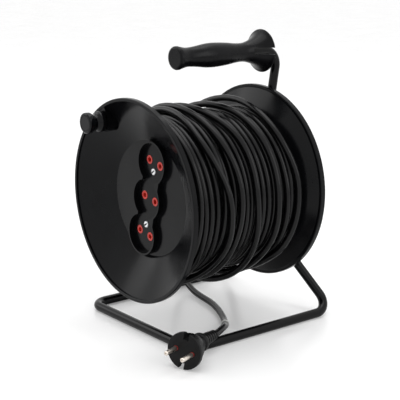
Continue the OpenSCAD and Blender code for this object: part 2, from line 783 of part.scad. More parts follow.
// White band round the cord
module cord_tie() color(c_white) placed() {
    p = cord_route[tie_at];
    d = unit(cord_route[tie_at + 1] - cord_route[tie_at - 1]);
    difference() {
        rod(p - d * 3, p + d * 3, cord_r + 0.9);
        rod(p - d * 5, p + d * 5, cord_r + 0.1);
    }
}

// Local plug frame: +Z runs from the face back towards the cord, pins along X
module at_plug() {
    back = -plug_dir;
    x = unit(cross(back, [0, 0, 1]));
    y = cross(back, x);
    multmatrix([[x.x, y.x, back.x, plug_face.x], [x.y, y.y, back.y, plug_face.y],
        [x.z, y.z, back.z, plug_face.z]]) rotate([0, 0, plug_roll]) children();
}

module at_plug_pins() for (s = [-1, 1]) translate([s * pin_pitch / 2, 0, 0]) children();

module plug_body() color(c_black) placed() at_plug() {
    r = plug_d / 2;
    l = plug_len;
    difference() {
        rotate_extrude() polygon([[0, 0], [r - 0.6, 0], [r, 0.6], [r, rim_back], [r - 1, rim_back + 1.2],
            [r - 2.2, rim_back + 2], [r - 2.5, rim_back + 5], [r - 3.2, rim_back + 10],
            [r - 4.8, rim_back + 15], [r - 7.4, rim_back + 20], [r - 9.2, rim_back + 24.5],
            [r - 9.9, l - 9], [r - 10.1, l - 2.5], [r - 10.9, l - 0.8], [relief_r + 0.6, l], [0, l]]);
        for (s = [-1, 1]) translate([-notch_w / 2, s > 0 ? r - notch_in : -r - eps, -eps])
            cube([notch_w, notch_in + eps, notch_len]);
        translate([0, 0, -1]) at_plug_pins() cylinder(h = pin_root + 1, r = collar_rr + seat_gap);
    }
}

// Ribbed tapered sleeve where the cord enters the plug
module plug_relief() color(c_black) placed() at_plug() {
    l = plug_len;
    e = plug_len + relief_len;
    ribs = 5;
    step = relief_len / ribs;
    difference() {
        translate([0, 0, l]) cylinder(h = relief_len, r1 = relief_r, r2 = relief_tip);
        for (i = [1 : ribs - 1]) translate([0, 0, l + i * step]) difference() {
            cylinder(h = 1.2, r = relief_r + 1);
            translate([0, 0, -1]) cylinder(h = 4, r = relief_tip - 0.5);
        }
    }
}

// Pins with a thin root in the plug and the full diameter in front of the collar
module plug_pins() color(c_steel) placed() at_plug() at_plug_pins() rotate([180, 0, 0])
    rotate_extrude() polygon([[0, 1 - pin_root], [root_r, 1 - pin_root],
        [root_r, collar_out], [pin_d / 2, collar_out], [pin_d / 2, pin_len - 1],
        [pin_d / 2 - 0.9, pin_len], [0, pin_len]]);

module pin_collars() color(c_red) placed() at_plug() at_plug_pins() translate([0, 0, -collar_out])
    difference() {
        cylinder(h = pin_root + collar_out, r = collar_rr);
        translate([0, 0, -1]) cylinder(h = pin_root + collar_out + 2, r = root_r + seat_gap);
    }

base_frame();
handle_tube();
axle_bracket();
axle_shaft();
rear_washer();
front_washer();
retaining_clip();
handle_grip();
grip_end_cap();
front_flange();
socket_block();
rear_flange();
drum_barrel();
tie_screws();
inner_hub();
front_bush();
rear_bush();
socket_cover();
socket_liners();
socket_screws();
contact_carrier();
contact_sleeves();
live_bar();
neutral_bar();
carrier_cover();
lead_clamp();
clamp_screws();
lead_in();
wound_core();
wound_layer();
knob_pin();
crank_knob();
knob_cap();
free_cord();
cord_tie();
plug_body();
plug_relief();
plug_pins();
pin_collars();
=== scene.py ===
"""Extension cord reel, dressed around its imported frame.

The frame gives every piece its place in metres: +Z is up and the sockets face -Y.
Sizes of the pieces are in millimetres from the reel's own reference, which is the
plane of the front rim (Y), the middle of the drum (X) and the floor (Z).
"""

from __future__ import annotations

import json
import logging
import math
import random
from dataclasses import dataclass
from enum import Enum
from typing import Optional, Sequence

import bmesh
import bpy
import numpy as np
from mathutils import Matrix, Vector

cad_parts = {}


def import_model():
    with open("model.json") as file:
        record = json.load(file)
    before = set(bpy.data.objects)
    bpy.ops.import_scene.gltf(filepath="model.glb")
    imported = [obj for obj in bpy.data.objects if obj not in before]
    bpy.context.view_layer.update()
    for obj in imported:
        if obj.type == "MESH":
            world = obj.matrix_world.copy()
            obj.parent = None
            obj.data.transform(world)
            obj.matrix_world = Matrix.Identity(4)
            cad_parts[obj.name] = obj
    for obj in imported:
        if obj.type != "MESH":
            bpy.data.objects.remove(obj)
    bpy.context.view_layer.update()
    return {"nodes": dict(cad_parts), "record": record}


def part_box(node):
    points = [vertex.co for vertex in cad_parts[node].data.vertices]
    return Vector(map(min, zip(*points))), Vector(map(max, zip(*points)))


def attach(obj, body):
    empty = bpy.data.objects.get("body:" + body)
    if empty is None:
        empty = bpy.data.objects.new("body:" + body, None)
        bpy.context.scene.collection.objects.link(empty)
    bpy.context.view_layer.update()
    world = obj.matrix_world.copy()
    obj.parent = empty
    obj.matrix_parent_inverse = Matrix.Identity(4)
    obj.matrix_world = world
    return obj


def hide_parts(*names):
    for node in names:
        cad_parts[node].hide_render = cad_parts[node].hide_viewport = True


log = logging.getLogger("cord_reel")

MM = 0.001
CORD_D = 7.2  # the cord's thickness in millimetres
SHARP = math.radians(38)  # an edge that turns by more than this stays crisp

Rgba = tuple[float, float, float, float]
Profile = Sequence[tuple[float, float]]
Ring = list[Vector]
Tree = bpy.types.NodeTree
Node = bpy.types.Node
Socket = bpy.types.NodeSocket
Piece = bpy.types.Object


# ---------------------------------------------------------------- shader helpers
def linear(hex_code: str) -> Rgba:
    """Turns an sRGB hex colour into linear RGBA.

    Args:
        hex_code: Colour as "#rrggbb".

    Returns:
        The linear colour with full alpha.
    """
    parts = [int(hex_code[i : i + 2], 16) / 255 for i in (1, 3, 5)]
    low_end = 0.04045
    out = [p / 12.92 if p <= low_end else ((p + 0.055) / 1.055) ** 2.4 for p in parts]
    return (out[0], out[1], out[2], 1.0)


def add_node(
    tree: Tree,
    kind: str,
    settings: Optional[dict[str, object]] = None,
    values: Optional[dict[str | int, object]] = None,
    links: Optional[dict[str | int, Socket]] = None,
    stops: Sequence[tuple[float, Rgba]] = (),
) -> Node:
    """Adds one shader node with its settings, socket values and incoming links.

    Args:
        tree: Node tree that gets the node.
        kind: Node type, such as "ShaderNodeTexNoise".
        settings: Properties of the node itself.
        values: Default values of its inputs, by name or index.
        links: Sockets of other nodes that feed its inputs, by name or index.
        stops: Position and linear colour of both ends, where the node is a ramp.

    Returns:
        The new node.
    """
    node = tree.nodes.new(kind)
    for key, value in (settings or {}).items():
        setattr(node, key, value)
    for key, value in (values or {}).items():
        node.inputs[key].default_value = value
    for key, socket in (links or {}).items():
        tree.links.new(socket, node.inputs[key])
    if stops:
        for element, (position, colour) in zip(node.color_ramp.elements, stops):
            element.position = position
            element.color = colour
    return node


# Where on a noise a drift begins and ends: of colour, and of gloss.
COLOUR_BAND = (0.35, 0.7)
GLOSS_BAND = (0.3, 0.7)
# Octaves of a patch's outline, and the strength of the finest.
PATCH_DETAIL = 5.0
PATCH_GRIT = 0.6


def per_metre(size_mm: float) -> float:
    """Gives the texture scale at which a noise feature is size_mm wide."""
    return 1 / (size_mm * MM)


def grey(level: float) -> Rgba:
    """Gives a linear grey for a ramp that drives a number."""
    return (level, level, level, 1.0)


# ---------------------------------------------------------------- finishes
@dataclass(frozen=True)
class Skin:
    """The nodes of one material while its finish is laid on.

    Attributes:
        tree: The node tree.
        shader: The Principled node.
        place: Object coordinates, in metres.
    """

    tree: Tree
    shader: Node
    place: Socket


@dataclass(frozen=True)
class Finish:
    """A surface of one real material, made in one way.

    Attributes:
        name: Name of the Blender material.
        colour: Base colour as sRGB hex.
        roughness: Middle of the roughness range.
        shine: Specular level, where 0.5 is the plain value for the material's IOR.
        shade: Colour that it drifts to in patches, as sRGB hex.
        patch_mm: Width of a patch.
        spread: How far roughness drifts to each side.
        ior: Index of refraction, or None for the shader's own.
    """

    name: str
    colour: str
    roughness: float
    shine: float = 0.5
    shade: str = "#000000"
    patch_mm: float = 6.0
    spread: float = 0.04
    ior: Optional[float] = None

    def material(self) -> bpy.types.Material:
        """Gives the Blender material, which is made on first use.

        Returns:
            The material.
        """
        found = bpy.data.materials.get(self.name)
        if found is not None:
            return found
        made = bpy.data.materials.new(self.name)
        made.use_nodes = True
        tree = made.node_tree
        tree.nodes.clear()
        values = {"Base Color": linear(self.colour), "Specular IOR Level": self.shine}
        if self.ior is not None:
            values["IOR"] = self.ior
        shader = add_node(tree, "ShaderNodeBsdfPrincipled", values=values)
        add_node(tree, "ShaderNodeOutputMaterial", links={"Surface": shader.outputs[0]})
        skin = Skin(tree, shader, add_node(tree, "ShaderNodeTexCoord").outputs["Object"])
        self.drift(skin)
        self.dress(skin)
        return made

    def dress(self, skin: Skin) -> None:
        """Adds the relief and the layers that are the finish's own."""

    def drift(self, skin: Skin) -> None:
        """Lets colour and roughness drift over patches.

        Args:
            skin: The material's nodes.
        """
        scale = per_metre(self.patch_mm)
        noise = add_node(
            skin.tree,
            "ShaderNodeTexNoise",
            values={"Scale": scale, "Detail": PATCH_DETAIL, "Roughness": PATCH_GRIT},
            links={"Vector": skin.place},
        ).outputs["Fac"]
        hues = [linear(self.colour), linear(self.shade)]
        gloss = [grey(self.roughness - self.spread), grey(self.roughness + self.spread)]
        ends = {"Base Color": zip(COLOUR_BAND, hues), "Roughness": zip(GLOSS_BAND, gloss)}
        for socket, stops in ends.items():
            band = add_node(
                skin.tree, "ShaderNodeValToRGB", links={"Fac": noise}, stops=list(stops)
            )
            skin.tree.links.new(band.outputs["Color"], skin.shader.inputs[socket])

    def relief(
        self,
        skin: Skin,
        size_mm: float,
        depth_mm: float,
        detail: float,
        grit: float = 0.5,
        under: Optional[Socket] = None,
    ) -> Socket:
        """Adds bump in the form of soft irregular grains.

        Args:
            skin: The material's nodes.
            size_mm: Width of a grain.
            depth_mm: Depth from the lowest to the highest point.
            detail: Octaves of the grain.
            grit: Strength of its finest octaves.
            under: Normal of a coarser relief below this one.

        Returns:
            The new normal, which also feeds the shader.
        """
        height = add_node(
            skin.tree,
            "ShaderNodeTexNoise",
            values={"Scale": per_metre(size_mm), "Detail": detail, "Roughness": grit},
            links={"Vector": skin.place},
        )
        links = {"Height": height.outputs["Fac"]}
        if under is not None:
            links["Normal"] = under
        values = {"Distance": depth_mm * MM}
        bump = add_node(skin.tree, "ShaderNodeBump", values=values, links=links)
        skin.tree.links.new(bump.outputs["Normal"], skin.shader.inputs["Normal"])
        return bump.outputs["Normal"]


@dataclass(frozen=True)
class MouldedAbs(Finish):
    """ABS from a polished mould: deep black gloss that waves a little, with faint dust.

    Attributes:
        wave_mm: Width of a wave, left by the plastic's shrinkage.
        wave_depth: Its depth in millimetres.
        dust_mm: Width of a speck of dust, drawn as coarse as it needs to show.
        dust_depth: Its depth in millimetres.
    """

    shade: str = "#0f1012"
    patch_mm: float = 38.0
    spread: float = 0.03
    ior: Optional[float] = 1.53
    wave_mm: float = 26.0
    wave_depth: float = 0.12
    dust_mm: float = 1.1
    dust_depth: float = 0.008

    def dress(self, skin: Skin) -> None:
        """Adds slow waves and sparse specks on them."""
        waves = self.relief(skin, self.wave_mm, self.wave_depth, detail=1.0)
        self.relief(skin, self.dust_mm, self.dust_depth, detail=3.0, under=waves)


@dataclass(frozen=True)
class SparkedPolypropylene(Finish):
    """Polypropylene from a spark-eroded mould: a fine even grain that dulls the gloss.

    Attributes:
        grain_mm: Width of a grain, drawn a little coarser than real so that it shows.
        grain_depth: Its depth in millimetres.
    """

    shade: str = "#101012"
    patch_mm: float = 22.0
    spread: float = 0.05
    ior: Optional[float] = 1.49
    grain_mm: float = 0.9
    grain_depth: float = 0.045

    def dress(self, skin: Skin) -> None:
        """Adds the grain."""
        self.relief(skin, self.grain_mm, self.grain_depth, detail=4.0, grit=0.7)


@dataclass(frozen=True)
class StovedEnamel(Finish):
    """Black enamel stoved on steel tube: a wet gloss with a slight orange peel.

    Attributes:
        coat: Weight of the hard clear top of the enamel.
        coat_roughness: Roughness of that top.
        peel_mm: Width of a dimple of the peel.
        peel_depth: Its depth in millimetres.
    """

    shade: str = "#0b0b0d"
    patch_mm: float = 30.0
    ior: Optional[float] = 1.55
    coat: float = 0.12
    coat_roughness: float = 0.06
    peel_mm: float = 3.2
    peel_depth: float = 0.03

    def dress(self, skin: Skin) -> None:
        """Adds the clear top and the peel.

        Args:
            skin: The material's nodes.
        """
        skin.shader.inputs["Coat Weight"].default_value = self.coat
        skin.shader.inputs["Coat Roughness"].default_value = self.coat_roughness
        self.relief(skin, self.peel_mm, self.peel_depth, detail=1.5)


@dataclass(frozen=True)
class ExtrudedPvc(Finish):
    """Soft PVC from an extruder or a plug mould: satin, with a faint skin and rubbed patches.

    Attributes:
        skin_mm: Width of a ripple of the skin.
        skin_depth: Its depth in millimetres.
    """

    shade: str = "#0e0e0f"
    patch_mm: float = 14.0
    spread: float = 0.05
    ior: Optional[float] = 1.54
    skin_mm: float = 1.6
    skin_depth: float = 0.014

    def dress(self, skin: Skin) -> None:
        """Adds the fine irregular skin."""
        self.relief(skin, self.skin_mm, self.skin_depth, detail=3.0)


@dataclass(frozen=True)
class ColouredThermoset(Finish):
    """Hard coloured moulding: an even colour under a dull shine.

    Attributes:
        skin_depth: Depth of its slight unevenness, in millimetres.
    """

    skin_depth: float = 0.02

    def dress(self, skin: Skin) -> None:
        """Adds the unevenness, which goes with the patches of shade."""
        self.relief(skin, self.patch_mm, self.skin_depth, PATCH_DETAIL, PATCH_GRIT)


@dataclass(frozen=True)
class PlatedMetal(Finish):
    """Turned and plated metal: its own tint, with tool marks and dull patches.

    Attributes:
        mark_mm: Width of a tool mark.
        mark_depth: Its depth in millimetres.
    """

    shade: str = "#8f9092"
    patch_mm: float = 5.0
    spread: float = 0.08
    mark_mm: float = 0.5
    mark_depth: float = 0.012

    def dress(self, skin: Skin) -> None:
        """Makes it a metal and adds the tool marks."""
        skin.shader.inputs["Metallic"].default_value = 1.0
        self.relief(skin, self.mark_mm, self.mark_depth, detail=4.0)


# Flanges: long soft highlights on black, with a hint of blue.
DRUM_ABS = MouldedAbs("drum_abs", "#09090b", 0.19, shine=0.135)
# Knob: the same plastic from a smaller mould, so its highlights are tighter.
KNOB_ABS = MouldedAbs("knob_abs", "#08080a", 0.12, shine=0.17, wave_mm=12.0)
# Socket cover: a little duller than the cone round it.
COVER_ABS = MouldedAbs("cover_abs", "#08080a", 0.2, shine=0.11, wave_mm=18.0)
# Grip: the grain spreads each highlight into a soft patch.
GRIP_PP = SparkedPolypropylene("grip_polypropylene", "#08080a", 0.28, shine=0.14)
# Stand: one hard wet line of light along each tube.
TUBE_ENAMEL = StovedEnamel("tube_enamel", "#060607", 0.2, shine=0.11)
# Cord: a satin line of light along each turn.
SHEATH_PVC = ExtrudedPvc("sheath_pvc", "#060607", 0.22, shine=0.22)
# Plug: dull dark grey.
PLUG_PVC = ExtrudedPvc("plug_pvc", "#101011", 0.4, shine=0.15, skin_mm=0.9)
# Bushes of the sockets' pin holes: a clear red.
LINER_RED = ColouredThermoset("liner_red", "#d9372a", 0.36, shade="#c02a22")
# Collars of the plug's pins: a darker, browner red.
COLLAR_RED = ColouredThermoset("collar_red", "#a8241d", 0.4, shade="#7d1a16")
# Bearing bushes and lead clamp: milky white.
NYLON = ColouredThermoset("natural_nylon", "#dedcd2", 0.45, shade="#d2cfc4")
# Band on the cord: a clean white with some shine.
BAND_WHITE = ColouredThermoset("band_white", "#e9e9e6", 0.3, shade="#d7d8d6")
# Axle, washers and hidden screws: cool grey.
ZINC = PlatedMetal("zinc_plate", "#c9cbcd", 0.34)
# Cover screws: almost white, because the plate is new and scatters light.
BRIGHT_ZINC = PlatedMetal("bright_zinc", "#f6f7f8", 0.42, shade="#e4e6e8")
# Floor of a screw's slot: the little light that reaches it.
SLOT_SHADE = ColouredThermoset("slot_shade", "#141414", 0.6, shade="#0c0c0c")
# Pins of the plug: a warm silver.
NICKEL = PlatedMetal("nickel_plate", "#efe6dc", 0.3, shade="#cfc6bb", mark_mm=2.0)
# Contacts: yellow metal in the pin holes.
BRASS = PlatedMetal("contact_brass", "#c9a25a", 0.3, shade="#a98544")


class Slot(Enum):
    """Material slots of the record."""

    STAND = "stand_paint"
    DRUM = "drum_plastic"
    GRIP = "grip_plastic"
    KNOB = "knob_plastic"
    STEEL = "zinc_steel"
    BRASS = "brass"
    RED = "red_plastic"
    WHITE = "white_plastic"
    CORD = "cord_sheath"
    PLUG = "plug_plastic"
    PIN = "pin_nickel"


class Body(Enum):
    """Bodies that move as one."""

    STAND = "stand"
    DRUM = "drum"
    KNOB = "knob"


class Carving(Enum):
    """What a tool does to a piece."""

    CUT = "DIFFERENCE"
    JOIN = "UNION"


# ---------------------------------------------------------------- mesh helpers
def place_object(name: str, data: bpy.types.ID) -> Piece:
    """Adds an object to the scene.

    Args:
        name: Name of the object.
        data: Its mesh, lamp or camera data.

    Returns:
        The object.
    """
    added = bpy.data.objects.new(name, data)
    bpy.context.scene.collection.objects.link(added)
    return added


def aim(thing: Piece, place: Sequence[float], target: Sequence[float]) -> None:
    """Puts a lamp or camera at a place and turns it to face a target.

    Args:
        thing: The lamp or camera.
        place: Where it stands, in metres.
        target: Point that it faces.
    """
    thing.location = place
    thing.rotation_mode = "QUATERNION"
    ahead = Vector(target) - Vector(place)
    thing.rotation_quaternion = ahead.to_track_quat("-Z", "Y")


def shade_smooth(mesh: bpy.types.Mesh) -> None:
    """Shades a mesh smooth and keeps its sharp edges crisp."""
    mesh.polygons.foreach_set("use_smooth", [True] * len(mesh.polygons))
    mesh.set_sharp_from_angle(angle=SHARP)


def new_piece(
    name: str,
    points: Sequence[Sequence[float]],
    faces: Sequence[Sequence[int]],
    finish: Finish,
) -> Piece:
    """Makes a closed mesh piece with smooth shading up to a sharp angle.

    Args:
        name: Piece name.
        points: Corners in metres.
        faces: Corner numbers of each face.
        finish: Finish of the whole piece.

    Returns:
        The piece, linked to the scene.
    """
    mesh = bpy.data.meshes.new(name)
    mesh.from_pydata([tuple(p) for p in points], [], [tuple(f) for f in faces])
    shape = bmesh.new()
    shape.from_mesh(mesh)
    bmesh.ops.recalc_face_normals(shape, faces=shape.faces)
    shape.to_mesh(mesh)
    shape.free()
    shade_smooth(mesh)
    mesh.materials.append(finish.material())
    return place_object(name, mesh)


def loft(
    rings: Sequence[Ring], closed_way: bool = False
) -> tuple[list[Vector], list[tuple[int, ...]]]:
    """Joins rings of equal length with quads.

    Args:
        rings: Rings of points, in order.
        closed_way: Whether the last ring joins the first; if not, both ends are capped.

    Returns:
        Points and faces.
    """
    sides = len(rings[0])
    points = [p for ring in rings for p in ring]
    count = len(rings)
    faces = []
    for i in range(count if closed_way else count - 1):
        a, b = i * sides, ((i + 1) % count) * sides
        for k in range(sides):
            n = (k + 1) % sides
            faces.append((a + k, a + n, b + n, b + k))
    if not closed_way:
        faces.append(tuple(reversed(range(sides))))
        faces.append(tuple(range((count - 1) * sides, count * sides)))
    return points, faces


def circle(count: int) -> list[float]:
    """Gives the angles of count points round a circle."""
    return [2 * math.pi * k / count for k in range(count)]


def tube_rings(
    path: Sequence[Vector], radius: float, sides: int, refs: Sequence[Vector]
) -> list[Ring]:
    """Makes a ring round each point of a path.

    Args:
        path: Centreline.
        radius: Radius of the tube, in metres.
        sides: Points in a ring.
        refs: A direction across the path at each point, which fixes the ring's turn.

    Returns:
        The rings.
    """
    rings = []
    last = len(path) - 1
    for i, point in enumerate(path):
        ahead = (path[min(i + 1, last)] - path[max(i - 1, 0)]).normalized()
        across = ahead.cross(refs[i]).normalized()
        up = ahead.cross(across)
        rings.append(
            [point + radius * (math.cos(t) * across + math.sin(t) * up) for t in circle(sides)]
        )
    return rings


def smooth_way(points: Sequence[Vector], steps: int) -> list[Vector]:
    """Runs a Catmull-Rom curve through points.

    Args:
        points: Points that the curve passes.
        steps: Pieces between two points.

    Returns:
        The curve's points, both ends included.
    """
    last = len(points) - 1
    out = []
    for i in range(last):
        a, b = points[max(i - 1, 0)], points[i]
        c, d = points[i + 1], points[min(i + 2, last)]
        for k in range(steps):
            t = k / steps
            out.append(
                0.5
                * (
                    2 * b
                    + (c - a) * t
                    + (2 * a - 5 * b + 4 * c - d) * t * t
                    + (3 * b - a - 3 * c + d) * t**3
                )
            )
    out.append(points[last].copy())
    return out


def fair(outline: Profile, steps: int = 4) -> list[tuple[float, float]]:
    """Runs a smooth curve through an outline, with steps pieces between two points."""
    way = smooth_way([Vector((r, 0, h)) for r, h in outline], steps)
    return [(p.x, p.z) for p in way]


def turned(
    name: str,
    outline: Profile,
    place: Matrix,
    finish: Finish,
    bored: bool = False,
    segments: int = 72,
) -> Piece:
    """Makes a turned piece.

    Args:
        name: Piece name.
        outline: Radius and height of each corner, in local millimetres.
        place: Local millimetres to frame metres, with the axis along local Z.
        finish: Its finish.
        bored: Whether the outline closes on itself round a bore.
        segments: Corners round the axis.

    Returns:
        The piece.
    """
    rings = [
        [place @ Vector((r * math.cos(t), r * math.sin(t), h)) for t in circle(segments)]
        for r, h in outline
    ]
    return new_piece(name, *loft(rings, closed_way=bored), finish)


def block(low: Sequence[float], high: Sequence[float], place: Matrix, finish: Finish) -> Piece:
    """Makes a plain block, as a tool for carve.

    Args:
        low: Its lowest corner, in local millimetres.
        high: Its highest corner.
        place: Local millimetres to frame metres.
        finish: Finish of the faces that it leaves.

    Returns:
        The block.
    """
    (x0, y0, z0), (x1, y1, z1) = low, high
    corners = [(x0, y0), (x1, y0), (x1, y1), (x0, y1)]
    rings = [[place @ Vector((x, y, z)) for x, y in corners] for z in (z0, z1)]
    return new_piece("block", *loft(rings), finish)


def carve(piece: Piece, *tools: Piece, how: Carving = Carving.CUT) -> None:
    """Cuts tools out of a piece, or joins them to it, and removes the tools.

    Args:
        piece: The piece that is changed.
        tools: Closed pieces.
        how: Whether the tools are cut out or joined on.
    """
    for tool in tools:
        step = piece.modifiers.new("carve", "BOOLEAN")
        step.operation = how.value
        step.solver = "EXACT"
        step.material_mode = "TRANSFER"
        step.object = tool
    graph = bpy.context.evaluated_depsgraph_get()
    mesh = bpy.data.meshes.new_from_object(piece.evaluated_get(graph))
    piece.modifiers.clear()
    old, piece.data = piece.data, mesh
    mesh.name = old.name
    bpy.data.meshes.remove(old)
    for tool in tools:
        bpy.data.objects.remove(tool)
    shade_smooth(mesh)


def ease(t: float) -> float:
    """Goes smoothly from 0 to 1 while t does."""
    t = min(max(t, 0.0), 1.0)
    return t * t * (3 - 2 * t)


# ---------------------------------------------------------------- the reel's frame
@dataclass(frozen=True)
class Reel:
    """Where the reel's own millimetres lie in the frame's metres.

    Attributes:
        rim_y: Frame Y of the front rim's plane, in metres.
        axle_z: Height of the axle, in millimetres.
    """

    rim_y: float
    axle_z: float

    @staticmethod
    def from_frame() -> Reel:
        """Reads the reel's reference from the front flange's box."""
        low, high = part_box("front_flange")
        return Reel(low.y, (low.z + high.z) / 2 / MM)

    def at(self, x: float, y: float, z: float) -> Vector:
        """Turns reel millimetres into frame metres."""
        return Vector((x * MM, self.rim_y + y * MM, z * MM))

    def polar(self, radius: float, degrees: float, y: float) -> Vector:
        """Gives the point at a radius and angle round the axle, at depth y."""
        t = math.radians(degrees)
        return self.at(radius * math.cos(t), y, self.axle_z + radius * math.sin(t))


def along_y(start: Vector, forwards: bool) -> Matrix:
    """Gives local millimetres with Z along the axle.

    Args:
        start: Local origin in frame metres.
        forwards: Whether local Z points to the front, where the sockets are.

    Returns:
        The matrix; local X stays level and points to the right.
    """
    quarter = 90 if forwards else -90
    turn = Matrix.Rotation(math.radians(quarter), 4, "X")
    return Matrix.Translation(start) @ Matrix.Scale(MM, 4) @ turn


def settle(piece: Piece, body: Body, slot: Slot, *replaced: str) -> Piece:
    """Rides a piece on its body and hides the nodes that it stands for.

    Args:
        piece: The new piece.
        body: Body that it moves with.
        slot: Material slot of the record; not used.
        replaced: CAD nodes that it stands for.

    Returns:
        The piece.
    """
    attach(piece, body.value)
    if replaced:
        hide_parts(*replaced)
    log.info("%s rides on %s", piece.name, body.value)
    return piece


# ---------------------------------------------------------------- studio
@dataclass(frozen=True)
class Softbox:
    """One lamp with a soft rectangular face.

    Attributes:
        name: Lamp name.
        place: Its centre, in metres.
        size: Its two sides, in metres.
        watts: Its power.
    """

    name: str
    place: tuple[float, float, float]
    size: tuple[float, float]
    watts: float

    def hang(self, target: Sequence[float]) -> None:
        """Hangs the lamp so that it faces the target.

        Args:
            target: Point in metres.
        """
        data = bpy.data.lights.new(self.name, "AREA")
        data.shape = "RECTANGLE"
        data.size, data.size_y = self.size
        data.energy = self.watts
        aim(place_object(self.name, data), self.place, target)


@dataclass(frozen=True)
class Studio:
    """Camera, lamps and a white sweep of floor.

    Attributes:
        eye: Place of the camera, in metres.
        target: Point that it looks at, in metres.
        lens_mm: Focal length of the lens.
        sensor_mm: Width of the sensor.
        lamps: The softboxes.
        lit_point: Point that they face, in metres.
        room_level: Light from the room, where 1 is white.
        floor_size: Side of the floor, in metres.
        floor_colour: Its colour as sRGB hex.
        floor_shine: Its specular level.
        floor_gloss: Lowest and highest roughness of its patches.
        floor_patches: Patches in a metre.
        floor_glow: What the floor gains towards the camera alone, where 1 is white.
    """

    eye: tuple[float, float, float] = (0.9543, -0.7558, 0.4310)
    target: tuple[float, float, float] = (0.01704, -0.01395, 0.13807)
    lens_mm: float = 101.505
    sensor_mm: float = 36.0
    lamps: Sequence[Softbox] = (
        Softbox("top_box", (-0.2, 0.1, 1.9), (1.6, 1.6), 15.5),
        Softbox("left_box", (-1.7, -1.1, 1.3), (1.2, 1.5), 9.0),
        Softbox("right_box", (1.9, 0.7, 1.2), (0.7, 1.7), 10.0),
    )
    lit_point: tuple[float, float, float] = (0.0, 0.0, 0.12)
    room_level: float = 0.62
    floor_size: float = 14.0
    floor_colour: str = "#f8f8f8"
    floor_shine: float = 0.45
    floor_gloss: tuple[float, float] = (0.2, 0.26)
    floor_patches: float = 9.0
    floor_glow: float = 0.2

    def place_camera(self) -> None:
        """Puts the camera at the viewing angle and makes it the scene's own."""
        data = bpy.data.cameras.new("camera")
        data.sensor_width = self.sensor_mm
        data.lens = self.lens_mm
        camera = place_object("camera", data)
        aim(camera, self.eye, self.target)
        bpy.context.scene.camera = camera

    def fill_world(self) -> None:
        """Makes a pale room that the camera, reflections and clear things see as white."""
        world = bpy.data.worlds.new("pale_room")
        bpy.context.scene.world = world
        world.use_nodes = True
        tree = world.node_tree
        tree.nodes.clear()
        rays = add_node(tree, "ShaderNodeLightPath").outputs
        seen = rays["Is Camera Ray"]
        either = {"operation": "MAXIMUM"}
        for kind in ("Is Glossy Ray", "Is Transmission Ray"):
            links = {0: seen, 1: rays[kind]}
            seen = add_node(tree, "ShaderNodeMath", either, links=links).outputs[0]
        levels = [
            add_node(
                tree,
                "ShaderNodeBackground",
                values={"Color": linear("#ffffff"), "Strength": strength},
            ).outputs[0]
            for strength in (self.room_level, 1.0)
        ]
        links = {0: seen, 1: levels[0], 2: levels[1]}
        mix = add_node(tree, "ShaderNodeMixShader", links=links)
        add_node(tree, "ShaderNodeOutputWorld", links={"Surface": mix.outputs[0]})

    def floor_material(self) -> bpy.types.Material:
        """Makes a white that keeps shadows and a weak blurred reflection.

        Returns:
            The material.
        """
        material = bpy.data.materials.new("white_sweep")
        material.use_nodes = True
        tree = material.node_tree
        tree.nodes.clear()
        patches = add_node(
            tree,
            "ShaderNodeTexNoise",
            values={"Scale": self.floor_patches, "Detail": 2.0},
            links={"Vector": add_node(tree, "ShaderNodeTexCoord").outputs["Object"]},
        )
        gloss = add_node(
            tree,
            "ShaderNodeValToRGB",
            links={"Fac": patches.outputs["Fac"]},
            stops=[(at, grey(level)) for at, level in zip(GLOSS_BAND, self.floor_gloss)],
        )
        shader = add_node(
            tree,
            "ShaderNodeBsdfPrincipled",
            values={
                "Base Color": linear(self.floor_colour),
                "Specular IOR Level": self.floor_shine,
            },
            links={"Roughness": gloss.outputs["Color"]},
        )
        rays = add_node(tree, "ShaderNodeLightPath")
        glow = add_node(
            tree,
            "ShaderNodeMath",
            settings={"operation": "MULTIPLY"},
            values={1: self.floor_glow},
            links={0: rays.outputs["Is Camera Ray"]},
        )
        lift = add_node(
            tree,
            "ShaderNodeEmission",
            values={"Color": linear("#ffffff")},
            links={"Strength": glow.outputs[0]},
        )
        both = add_node(
            tree, "ShaderNodeAddShader", links={0: shader.outputs[0], 1: lift.outputs[0]}
        )
        add_node(tree, "ShaderNodeOutputMaterial", links={"Surface": both.outputs[0]})
        return material

    def lay_floor(self) -> None:
        """Lays the floor."""
        half = self.floor_size / 2
        corners = [(-half, -half, 0), (half, -half, 0), (half, half, 0), (-half, half, 0)]
        mesh = bpy.data.meshes.new("floor")
        mesh.from_pydata(corners, [], [(0, 1, 2, 3)])
        mesh.materials.append(self.floor_material())
        place_object("floor", mesh)

    def build(self) -> None:
        """Sets up the whole studio."""
        bpy.context.scene.view_settings.view_transform = "Standard"
        self.place_camera()
        self.fill_world()
        for lamp in self.lamps:
            lamp.hang(self.lit_point)
        self.lay_floor()
        log.info("studio stands")


